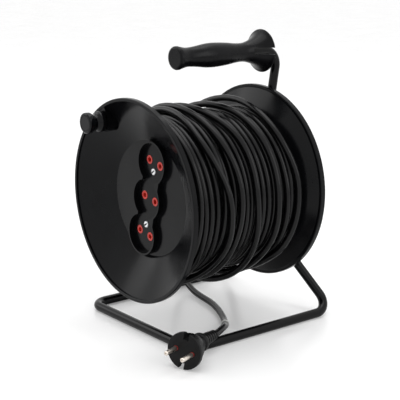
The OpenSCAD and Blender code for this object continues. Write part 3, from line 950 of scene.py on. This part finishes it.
# ---------------------------------------------------------------- cord and plug
@dataclass(frozen=True)
class PlugPlace:
    """Where the plug lies.

    Attributes:
        face: Middle of its face, in reel millimetres.
        ahead: Direction in which its pins point.
        roll_degrees: Its turn about its own axis.
        body_len: Length from the face to the relief.
        relief_len: Length of the relief outside the body.
    """

    face: tuple[float, float, float] = (122.0, -23.0, 19.6)
    ahead: tuple[float, float, float] = (0.36, -0.93, 0.03)
    roll_degrees: float = 10.0
    body_len: float = 42.0
    relief_len: float = 18.0

    def back(self) -> Vector:
        """Gives the direction from the face to the cord."""
        return -Vector(self.ahead).normalized()

    def cord_end(self) -> Vector:
        """Gives the place where the cord enters the relief, in reel millimetres."""
        return Vector(self.face) + self.back() * (self.body_len + self.relief_len)

    def matrix(self, reel: Reel) -> Matrix:
        """Gives the plug's frame: local millimetres, +Z from the face to the cord.

        Args:
            reel: The reel's frame.

        Returns:
            The matrix.
        """
        back = self.back()
        x = back.cross(Vector((0, 0, 1))).normalized()
        y = back.cross(x)
        turn = Matrix.Rotation(math.radians(self.roll_degrees), 4, "Z")
        axes = Matrix((x, y, back)).transposed().to_4x4()
        place = Matrix.Translation(reel.at(*self.face))
        return place @ Matrix.Scale(MM, 4) @ axes @ turn


@dataclass(frozen=True)
class LooseCord:
    """The free end of the cord, from the drum over the floor to the plug.

    Attributes:
        reel: The reel's frame.
        plug: Where the plug lies.
        route: Points that the cord passes, in reel millimetres.
        steps: Pieces of the centreline between two points.
        sides: Corners round the cord.
        level: A direction that the cord never takes, which fixes its rings' turn.
    """

    reel: Reel
    plug: PlugPlace
    route: Sequence[tuple[float, float, float]] = (
        (-108.5, 138, 144),
        (-108.5, 138, 122),
        (-108.5, 138, 99),
        (-108.5, 138, 76),
        (-107, 138, 54),
        (-101.5, 138, 33),
        (-91, 137, 18.5),
        (-76, 134, 9.5),
        (-57, 129.5, 4.8),
        (-36, 125.5, 3.6),
        (-14, 121, 3.6),
        (6, 114, 3.6),
        (25, 105, 3.6),
        (42, 95, 3.6),
        (58, 83, 6),
        (72, 71, 11),
        (85, 59, 16),
    )
    steps: int = 8
    sides: int = 20
    level: tuple[float, float, float] = (0.93, 0.36, 0.0)

    def path(self) -> list[Vector]:
        """Gives the cord's centreline in frame metres.

        Returns:
            Its points, closely spaced.
        """
        end = self.plug.cord_end()
        points = [Vector(p) for p in self.route]
        points += [end + self.plug.back() * CORD_D, end]
        low = CORD_D / 2
        way = smooth_way(points, self.steps)
        return [self.reel.at(p.x, p.y, max(p.z, low)) for p in way]

    def build(self) -> tuple[Piece, list[Vector]]:
        """Makes the cord.

        Returns:
            The cord and its centreline.
        """
        way = self.path()
        refs = [Vector(self.level)] * len(way)
        rings = tube_rings(way, CORD_D / 2 * MM, self.sides, refs)
        cord = new_piece("loose_cord", *loft(rings), SHEATH_PVC)
        settle(cord, Body.STAND, Slot.CORD, "free_cord")
        return cord, way


@dataclass(frozen=True)
class Winding:
    """The cord on the drum: a tight layer to the front and loose loops back over it.

    The cord is laid turn by turn. At each angle it rests on what lies below it, and
    stiffness then lifts it over the gaps.

    Attributes:
        reel: The reel's frame.
        core_r: Radius that the tight layer lies on, in millimetres.
        start_y: Depth where the tight layer begins, at the back.
        front_y: Depth where it meets the loose loops.
        tight_turns: Number of turns of the tight layer.
        step_wander: Share by which the width of a turn strays.
        turn_sway: How far a turn sways along the axle, in millimetres.
        sway_share: Least and greatest share of that sway.
        turn_lean: How far the sway's peak strays round the drum, in radians.
        turn_sag: Least and greatest sag of a turn at its bottom, in millimetres.
        loops: Degrees before the end, depth and slack of the loose loops.
        end: Radius and depth where the free cord takes over.
        end_angle: Where that is round the axle, in degrees.
        skin_gap: Gap between two turns that touch, in millimetres.
        stiffness: Rounds of smoothing, which lift the cord over the gaps below it.
        lead_dip: How far the start dips under the layer, in millimetres.
        samples: Points in a turn.
        sides: Corners round the cord.
        seed: Seed of the random draws.
    """

    reel: Reel
    core_r: float = 81.2
    start_y: float = 157.0
    front_y: float = 24.0
    tight_turns: int = 17
    step_wander: float = 0.1
    turn_sway: float = 1.2
    sway_share: tuple[float, float] = (0.2, 1.6)
    turn_lean: float = 0.9
    turn_sag: tuple[float, float] = (0.2, 3.6)
    loops: Sequence[tuple[float, float, float]] = (
        (-1840, 28, 0.0),
        (-1770, 32, 0.5),
        (-1710, 42, 0.8),
        (-1675, 50, 1.0),
        (-1646, 62, 1.2),
        (-1620, 60, 0.8),
        (-1570, 46, 1.0),
        (-1542, 49, 1.2),
        (-1527, 51, 1.0),
        (-1490, 47, 0.8),
        (-1440, 50, 0.6),
        (-1350, 65, 1.2),
        (-1292, 72, 0.8),
        (-1255, 76, 0.5),
        (-1202, 66, 0.8),
        (-1175, 61, 0.6),
        (-1130, 60, 0.6),
        (-1080, 69, 0.6),
        (-990, 91, 8.0),
        (-956, 101, 7.5),
        (-935, 103, 2.5),
        (-900, 98, 0.8),
        (-852, 94, 1.0),
        (-823, 80, 1.2),
        (-813, 76, 1.2),
        (-730, 88, 0.6),
        (-630, 108, 2.5),
        (-588, 121, 2.5),
        (-570, 127, 1.2),
        (-537, 127, 0.6),
        (-494, 124, 1.0),
        (-463, 116, 1.2),
        (-453, 111, 1.2),
        (-370, 115, 0.6),
        (-270, 126, 2.0),
        (-230, 139, 2.0),
        (-213, 150, 1.0),
        (-174, 157, 0.5),
        (-140, 149, 1.0),
        (-115, 147, 1.5),
        (-88, 149, 1.2),
        (-45, 143, 0.8),
        (0, 138, 0.8),
    )
    end: tuple[float, float] = (108.5, 138.0)
    end_angle: float = 180.0
    skin_gap: float = 0.15
    stiffness: int = 14
    lead_dip: float = 8.2
    samples: int = 72
    sides: int = 14
    seed: int = 11

    def loop_count(self) -> int:
        """Gives the number of samples in the loose loops."""
        return round(-self.loops[0][0] / 360 * self.samples)

    def tight_plan(self) -> tuple[list[float], list[float]]:
        """Plans the tight layer, whose turns wander a little and sag at the bottom.

        Returns:
            Depth and slack of each sample.
        """
        dice = random.Random(self.seed)
        count = self.tight_turns
        steps = [1 + dice.uniform(-1, 1) * self.step_wander for _ in range(count)]
        sways = [self.turn_sway * dice.uniform(*self.sway_share) for _ in range(count + 1)]
        leans = [dice.uniform(-self.turn_lean, self.turn_lean) for _ in range(count + 1)]
        sags = [dice.uniform(*self.turn_sag) for _ in range(count + 1)]
        pitch = (self.front_y - self.start_y) / sum(steps)
        start = math.radians(self.end_angle + self.loops[0][0])
        plan: list[float] = []
        loose: list[float] = []
        place = self.start_y
        for t, step in enumerate(steps):
            for i in range(self.samples):
                u = i / self.samples
                turn = 2 * math.pi * u
                sway, lean, sag = (
                    row[t] + (row[t + 1] - row[t]) * ease(u) for row in (sways, leans, sags)
                )
                plan.append(place + pitch * step * u + sway * math.cos(turn + lean))
                loose.append(sag * (1 - math.sin(start + turn)) / 2)
            place += pitch * step
        return plan, loose

    def loop_plan(self) -> tuple[list[float], list[float]]:
        """Plans the loose loops.

        Returns:
            Depth and slack of each sample.
        """
        count = self.loop_count()
        places, depths, slacks = (np.array(row) for row in zip(*self.loops))
        slopes = np.gradient(depths, places)
        out, loose = [], []
        for k in range(count):
            rel = -360 * (count - k) / self.samples
            i = int(np.clip(np.searchsorted(places, rel, side="right") - 1, 0, len(places) - 2))
            span = places[i + 1] - places[i]
            t = (rel - places[i]) / span
            out.append(
                float(
                    (2 * t**3 - 3 * t**2 + 1) * depths[i]
                    + (t**3 - 2 * t**2 + t) * span * slopes[i]
                    + (3 * t**2 - 2 * t**3) * depths[i + 1]
                    + (t**3 - t**2) * span * slopes[i + 1]
                )
            )
            loose.append(float(slacks[i] + (slacks[i + 1] - slacks[i]) * ease(t)))
        return out, loose

    def lay(self) -> tuple[list[float], list[float]]:
        """Lays the cord on the core and on itself.

        Returns:
            Depth and radius of each sample.
        """
        tight, slack = self.tight_plan()
        loops, loose = self.loop_plan()
        slack = slack + loose
        blend = self.samples // 4
        offset = tight[-1] - loops[0]
        loops = [y + offset * (1 - ease(k / blend)) for k, y in enumerate(loops)]
        plan = np.array(tight + loops)
        count = len(plan)
        low = self.core_r + CORD_D / 2
        need = np.full(count, low)
        radius = np.full(count, low)
        gap = CORD_D + self.skin_gap
        for first in range(0, count, self.samples):
            span = range(first, min(first + self.samples, count))
            for k in span:
                below = np.arange(k - self.samples, -1, -self.samples)
                away = np.abs(plan[below] - plan[k])
                near = away < gap
                if near.any():
                    lift = np.sqrt(gap**2 - away[near] ** 2)
                    need[k] = max(low, float((radius[below][near] + lift).max()))
                radius[k] = need[k] + slack[k]
            lo, hi = max(first - self.samples // 3, 0), span[-1] + 1
            radius[lo:hi] = self.stiffen(radius[lo:hi], need[lo:hi])
        return list(plan), list(radius)

    def stiffen(self, radius: np.ndarray, need: np.ndarray) -> np.ndarray:
        """Smooths a stretch of cord as its stiffness does.

        Args:
            radius: Radius of each sample.
            need: Radius that each sample can't go below.

        Returns:
            The smoothed radii.
        """
        for _ in range(self.stiffness):
            soft = radius.copy()
            soft[1:-1] = 0.25 * radius[:-2] + 0.5 * radius[1:-1] + 0.25 * radius[2:]
            radius = np.maximum(soft, need)
        return radius

    def build(self) -> Piece:
        """Makes the winding, which dips in under the layer and ends at the free cord.

        Returns:
            The winding.
        """
        depths, radii = self.lay()
        count = len(depths)
        lead, tail = self.samples // 6, self.samples // 3
        way, refs = [], []
        for k in range(count + 1):
            j = min(k, count - 1)
            r, y = radii[j], depths[j]
            if k < lead:
                r -= (1 - ease(k / lead)) * self.lead_dip
            rest = ease((k - count + tail) / tail)
            r += (self.end[0] - r) * rest
            y += (self.end[1] - y) * rest
            angle = self.end_angle + 360 * (k - count) / self.samples
            way.append(self.reel.polar(r, angle, y))
            refs.append(self.reel.polar(1, angle, 0) - self.reel.at(0, 0, self.reel.axle_z))
        rings = tube_rings(way, CORD_D / 2 * MM, self.sides, refs)
        turns = new_piece("cord_turns", *loft(rings), SHEATH_PVC)
        return settle(turns, Body.DRUM, Slot.CORD, "wound_layer")


@dataclass(frozen=True)
class InnerTurns:
    """The layers below, seen only between the outer turns.

    Attributes:
        reel: The reel's frame.
        first_y: Depth of the first turn.
        last_y: Depth of the last turn.
        top_r: Outer radius of the layer.
        bottom_r: Radius that it goes down to, where nothing shows.
        foot_inset: How far its two ends lean in towards the bottom.
        turns: Number of turns.
        crest_steps: Pieces of the outline over one turn.
        segments: Corners round the axle.
    """

    reel: Reel
    first_y: float = 20.6
    last_y: float = 159.4
    top_r: float = 80.8
    bottom_r: float = 61.0
    foot_inset: float = 9.5
    turns: int = 19
    crest_steps: int = 6
    segments: int = 120

    def profile(self) -> list[tuple[float, float]]:
        """Gives the outline of the layer: one round crest for each turn.

        Returns:
            Radius and depth of each corner.
        """
        pitch = (self.last_y - self.first_y) / self.turns
        half = pitch / 2
        out = [(self.bottom_r, self.first_y + self.foot_inset)]
        for k in range(self.turns * self.crest_steps + 1):
            turn, step = divmod(k, self.crest_steps)
            rise = math.pi * step / self.crest_steps
            middle = self.first_y + (turn + 0.5) * pitch
            low = self.top_r - half
            out.append((low + math.sin(rise) * half, middle - math.cos(rise) * half))
        out.append((self.bottom_r, self.last_y - self.foot_inset))
        return out

    def build(self) -> Piece:
        """Makes the layer.

        Returns:
            The layer.
        """
        outline = self.profile()
        rings = [
            [self.reel.polar(r, 360 * s / self.segments, y) for r, y in outline]
            for s in range(self.segments)
        ]
        points, faces = loft(rings, closed_way=True)
        layer = new_piece("inner_turns", points, faces, SHEATH_PVC)
        return settle(layer, Body.DRUM, Slot.CORD, "wound_core")


# ---------------------------------------------------------------- grip, knob, screws, plug
@dataclass(frozen=True)
class Grip:
    """The grip: a belly between two necks and a bell with a slot beside the post.

    Attributes:
        reel: The reel's frame.
        start_y: Depth of its front end.
        height: Height of its axis.
        length: Its length, the end cap included.
        bore_r: Radius of the bore for the tube.
        bore_start: Where the bore begins, behind the end cap's plug.
        cap_r: Radius of the seat of the end cap's plug.
        bell_r: Radius of the bell's rim.
        seat_half: Half the width of the seat that carries the tube in the bell.
        seat_h: Height of that seat.
        slot_len: Length of the slot in the bell.
        slot_low: How far the slot reaches below the axis.
        slot_high: How far it reaches above the axis.
    """

    reel: Reel
    start_y: float = 59.5
    height: float = 292.4
    length: float = 122.5
    bore_r: float = 5.2
    bore_start: float = 12.0
    cap_r: float = 8.0
    bell_r: float = 24.0
    seat_half: float = 4.5
    seat_h: float = 2.1
    slot_len: float = 20.0
    slot_low: float = 2.4
    slot_high: float = 5.1

    def outline(self) -> list[tuple[float, float]]:
        """Gives the outline from the cap's seat over the belly and back through the bore.

        Returns:
            Radius and height of each corner.
        """
        e = self.length
        belly = [
            (12.5, 4.3),
            (11.9, 7),
            (10.8, 12),
            (10.3, 17),
            (10.7, 24),
            (11.6, 32),
            (12.7, 40),
            (13.3, 49),
            (13.1, e - 65),
            (12.6, e - 56.5),
            (11.8, e - 48.5),
            (10.8, e - 40.5),
            (10.3, e - 32.5),
            (10.6, e - 26.5),
            (11.6, e - 21.5),
            (13.1, e - 16.5),
            (15.2, e - 11.5),
            (17.8, e - 7),
            (20.8, e - 3.4),
            (23.2, e - 1.4),
        ]
        rim = [(23.7, e - 1.1), (self.bell_r, e - 0.7), (self.bell_r, e - 0.2), (23.8, e)]
        inside = [
            (self.bell_r - 2.2, e),
            (self.bell_r - 2.6, e - 0.3),
            (19.0, e - 2.4),
            (14.2, e - 8),
            (10.5, e - 13),
            (self.bore_r, e - 16),
            (self.bore_r, self.bore_start),
            (self.cap_r, self.bore_start),
        ]
        return [(self.cap_r, 4.05), (12.4, 4.05)] + fair(belly) + rim + inside

    def build(self) -> Piece:
        """Makes the grip, its slot, and the seat that carries the tube in the bell.

        Returns:
            The grip.
        """
        place = along_y(self.reel.at(0, self.start_y, self.height), forwards=False)
        grip = turned("carrying_grip", self.outline(), place, GRIP_PP, bored=True)
        e = self.length
        half, top = self.seat_half, self.bore_r + self.seat_h
        seat = block((-half, self.bore_r, e - 17), (half, top, e - 1.6), place, GRIP_PP)
        carve(grip, seat, how=Carving.JOIN)
        low = (0, -self.slot_high, e - self.slot_len)
        high = (self.bell_r + 2, self.slot_low, e + 2)
        carve(grip, block(low, high, place, GRIP_PP))
        return settle(grip, Body.STAND, Slot.GRIP, "handle_grip")


@dataclass(frozen=True)
class Knob:
    """The crank knob: a thick head and a rear collar with a waist between them.

    Attributes:
        reel: The reel's frame.
        orbit: Its distance from the axle.
        lean: Its angle from the top, towards the left, in degrees.
        start: Gap between the flange's rim and its rear collar.
        length: Its length.
        face_r: Radius of the head and of the collar.
        waist_r: Radius of the waist.
        bore_r: Radius of the bore for its pin.
        inlay_r: Radius of the inlaid face.
        inlay_d: Depth of that face below the head's edge.
        groove_d: Depth of the groove round it.
        pin_head_r: Radius of the room for the pin's head.
        pin_head_y: Depth of the front and back of that room, from the face.
    """

    reel: Reel
    orbit: float = 94.2
    lean: float = 32.4
    start: float = 0.6
    length: float = 21.6
    face_r: float = 11.3
    waist_r: float = 7.7
    bore_r: float = 3.08
    inlay_r: float = 8.3
    inlay_d: float = 0.15
    groove_d: float = 0.5
    pin_head_r: float = 5.38
    pin_head_y: tuple[float, float] = (2.4, 4.6)

    def outline(self) -> list[tuple[float, float]]:
        """Gives the outline from the rear collar to the face and back down the bore.

        Returns:
            Radius and height of each corner.
        """
        r, w, b = self.face_r, self.waist_r, self.length
        sides = [
            (r - 1.4, 0),
            (r - 0.5, 0.4),
            (r, 1.5),
            (r, 4.6),
            (r - 0.5, 6.0),
            (w + 1.2, 7.6),
            (w + 0.2, 9.2),
            (w, 10.2),
            (w + 0.3, 11.4),
            (w + 1.6, 13),
            (r - 1.1, 14.4),
            (r - 0.2, 15.6),
            (r, 17),
            (r, b - 1.4),
            (r - 0.5, b - 0.5),
            (r - 1.5, b),
        ]
        inlay, groove, floor = self.inlay_r, b - self.groove_d, b - self.inlay_d
        front, back = (b - depth for depth in self.pin_head_y)
        face = [
            (inlay + 0.25, b),
            (inlay + 0.1, groove),
            (inlay - 0.1, groove),
            (inlay - 0.3, floor),
            (0.02, floor),
            (0.02, front),
            (self.pin_head_r, front),
            (self.pin_head_r, back),
            (self.bore_r, back),
            (self.bore_r, 0),
        ]
        return fair(sides, 3) + face

    def build(self) -> Piece:
        """Makes the knob.

        Returns:
            The knob.
        """
        centre = self.reel.polar(self.orbit, 90 + self.lean, -self.start)
        place = along_y(centre, forwards=True)
        knob = turned("crank_knob_skin", self.outline(), place, KNOB_ABS, bored=True)
        return settle(knob, Body.KNOB, Slot.KNOB, "crank_knob", "knob_cap")


@dataclass(frozen=True)
class CoverScrews:
    """The two bright slotted screws of the socket cover.

    Attributes:
        reel: The reel's frame.
        offsets: Distance of each from the middle of the row, up the row.
        tilt: Lean of the row in degrees, as in the frame.
        face_y: Depth of their heads' faces.
        head_r: Radius of the head.
        head_h: Height of the head.
        shank_r: Radius of the shank.
        shank_len: Length from the face to the shank's end.
        slot_w: Width of the slot.
        slot_d: Depth of the slot.
        slot_turn: Turn of the slot in degrees.
    """

    reel: Reel
    offsets: Sequence[float] = (31.2, -31.2)
    tilt: float = 13.4
    face_y: float = 24.6
    head_r: float = 3.6
    head_h: float = 2.1
    shank_r: float = 1.6
    shank_len: float = 14.4
    slot_w: float = 1.5
    slot_d: float = 1.6
    slot_turn: float = 35.0

    def outline(self) -> list[tuple[float, float]]:
        """Gives the outline from the shank's end to the rounded edge of the head.

        Returns:
            Radius and height of each corner.
        """
        r, h, s = self.head_r, self.head_h, self.shank_r
        shank = [(s, -self.shank_len), (s, -h)]
        return shank + [(r, -h), (r, -0.7), (r - 0.25, -0.25), (r - 0.8, 0)]

    def build(self) -> list[Piece]:
        """Makes both screws, each with a dark slot.

        Returns:
            The screws.
        """
        made = []
        for number, offset in enumerate(self.offsets, 1):
            centre = self.reel.polar(offset, 90 - self.tilt, self.face_y)
            place = along_y(centre, forwards=True)
            screw = turned(f"cover_screw_{number}", self.outline(), place, BRIGHT_ZINC, segments=48)
            across = place @ Matrix.Rotation(math.radians(self.slot_turn), 4, "Z")
            reach, half = self.head_r - 0.9, self.slot_w / 2
            slot = block((-reach, -half, -self.slot_d), (reach, half, 1), across, SLOT_SHADE)
            carve(screw, slot)
            made.append(settle(screw, Body.DRUM, Slot.STEEL, "socket_screws"))
        return made


@dataclass(frozen=True)
class Plug:
    """The moulded plug: a notched disc, a shouldered body, a lip and a ribbed relief.

    Attributes:
        place: Local millimetres to frame metres, +Z from the face to the cord.
        length: Length of the body up to the relief.
        radius: Radius of the disc.
        relief: Length of the relief.
        pin_length: Length of a pin.
        pin_offset: Distance of a pin from the axis.
        hole: Radius and depth of the hole round a pin's root.
        notch_half: Half the width of a notch.
        notch_in: Depth of a notch.
        notch_len: Its length, from the face.
        mark_in: Depth of a finger mark.
        mark_y: Where a finger mark begins and ends to the side.
        mark_z: Where it begins and ends behind the face.
        ribs: Number of ribs of the relief.
        rib_taper: How much smaller each rib is than the last.
    """

    place: Matrix
    length: float = 35.0
    radius: float = 19.2
    relief: float = 25.0
    pin_length: float = 19.0
    pin_offset: float = 9.5
    hole: tuple[float, float] = (3.0, 8.0)
    notch_half: float = 3.0
    notch_in: float = 7.0
    notch_len: float = 16.0
    mark_in: float = 3.6
    mark_y: tuple[float, float] = (5.6, 7.4)
    mark_z: tuple[float, float] = (8.6, 10.8)
    ribs: int = 5
    rib_taper: float = 0.42

    def at_pin(self, side: int) -> Matrix:
        """Gives the local frame of the pin on one side, -1 or 1."""
        return self.place @ Matrix.Translation((side * self.pin_offset, 0, 0))

    def hollows(self) -> list[Piece]:
        """Makes the tools for the two notches, the finger marks and the pins' holes.

        Returns:
            The tools, for carve.
        """
        r, half = self.radius, self.notch_half
        tools = []
        for side in (1, -1):
            y0, y1 = sorted((side * (r - self.notch_in), side * (r + 1)))
            tools.append(block((-half, y0, -1), (half, y1, self.notch_len), self.place, PLUG_PVC))
        for side in (1, -1):
            y0, y1 = sorted(side * y for y in self.mark_y)
            low, high = (r - self.mark_in, y0, self.mark_z[0]), (r, y1, self.mark_z[1])
            tools.append(block(low, high, self.place, PLUG_PVC))
        hole_r, deep = self.hole
        for side in (-1, 1):
            outline = [(hole_r, -1), (hole_r, deep)]
            tools.append(turned("hole", outline, self.at_pin(side), PLUG_PVC, segments=40))
        return tools

    def body(self) -> Piece:
        """Makes the body with its notches, marks and holes.

        Returns:
            The body.
        """
        r, e = self.radius, self.length
        disc = [(r - 0.7, 0), (r - 0.2, 0.2), (r, 0.7), (r, 4.8), (r - 0.4, 5.5), (r - 1.9, 6.4)]
        shoulder = [(r - 2.3, 7), (r - 2.6, 9), (r - 3.4, 12.5), (r - 5.2, 17)]
        shoulder += [(r - 7.6, 21.5), (r - 9.4, 25.2), (r - 10.1, 27.8)]
        lip = [(r - 10.1, 28.4), (r - 9.4, 29.2), (r - 9.1, 30.4), (r - 9.2, 33), (r - 9.9, 34.4)]
        outline = disc + fair(shoulder) + fair(lip, 3) + [(r - 11.4, e)]
        body = turned("plug_shell", outline, self.place, PLUG_PVC)
        carve(body, *self.hollows())
        return settle(body, Body.STAND, Slot.PLUG, "plug_body")

    def sleeve(self) -> Piece:
        """Makes the ribbed relief.

        Returns:
            The relief.
        """
        e = self.length
        step = (self.relief - 2) / self.ribs
        outline = [(7.2, e)]
        for i in range(self.ribs):
            low, high = e + i * step, e + (i + 1) * step
            r = 7.3 - self.rib_taper * i
            outline += [(r, low + 0.3), (r, high - 1.7), (r - 0.3, high - 1.3)]
            outline += [(r - 1.5, high - 0.9), (r - 1.5, high - 0.15)]
        end = e + self.relief
        outline += [(5.2, end - 2.0), (5.3, end - 1.6), (5.3, end - 0.4), (4.9, end)]
        sleeve = turned("plug_sleeve", outline, self.place, PLUG_PVC)
        return settle(sleeve, Body.STAND, Slot.PLUG, "plug_relief")

    def pins(self) -> list[Piece]:
        """Makes the two pins, each with a dimple in its end and a red collar at its root.

        Returns:
            Each pin, followed by its collar.
        """
        e = self.pin_length
        pin = [(1.9, 7), (1.9, -0.6), (2.4, -0.7), (2.4, 1.1 - e), (2.25, 0.5 - e), (1.8, -e)]
        pin += [(0.7, -e), (0.5, 0.7 - e)]
        collar = [(2.6, 7), (2.6, -0.2), (2.4, -0.4), (2.0, -0.4), (2.0, 7)]
        made = []
        for number, side in enumerate((-1, 1), 1):
            place = self.at_pin(side)
            rod = turned(f"pin_{number}", pin, place, NICKEL, segments=40)
            ring = turned(f"collar_{number}", collar, place, COLLAR_RED, bored=True, segments=40)
            made.append(settle(rod, Body.STAND, Slot.PIN, "plug_pins"))
            made.append(settle(ring, Body.STAND, Slot.RED, "pin_collars"))
        return made


# ---------------------------------------------------------------- carried nodes
def dress_nodes(frame: dict) -> None:
    """Gives every CAD node that stays its finish.
    """
    finishes = {
        Slot.STAND: TUBE_ENAMEL,
        Slot.DRUM: DRUM_ABS,
        Slot.GRIP: GRIP_PP,
        Slot.KNOB: KNOB_ABS,
        Slot.STEEL: ZINC,
        Slot.BRASS: BRASS,
        Slot.RED: LINER_RED,
        Slot.WHITE: NYLON,
        Slot.CORD: SHEATH_PVC,
        Slot.PLUG: PLUG_PVC,
        Slot.PIN: NICKEL,
    }
    special = {"socket_cover": COVER_ABS, "cord_tie": BAND_WHITE}
    for part in frame["record"]["subparts"]:
        node = frame["nodes"][part["node"]]
        finish = special.get(part["node"], finishes[Slot(part["material_slot"])])
        material = finish.material()
        if not node.data.materials:
            node.data.materials.append(material)
        for slot in node.material_slots:
            slot.material = material
    log.info("%d nodes dressed", len(frame["nodes"]))


def main() -> None:
    """Builds the dressed reel."""
    logging.basicConfig(level=logging.INFO, format="%(name)s: %(message)s")
    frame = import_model()
    reel = Reel.from_frame()
    Studio().build()
    plug = PlugPlace()
    cord, way = LooseCord(reel, plug).build()
    dress_nodes(frame)
    Winding(reel).build()
    InnerTurns(reel).build()
    Grip(reel).build()
    Knob(reel).build()
    CoverScrews(reel).build()
    moulding = Plug(plug.matrix(reel))
    nodes = frame["nodes"]
    on_cord = [moulding.body(), moulding.sleeve(), *moulding.pins(), nodes["cord_tie"]]
    length = sum((b - a).length for a, b in zip(way, way[1:]))
    tuple(way[0])
    [tuple(p) for p in way]


if __name__ == "__main__":
    main()
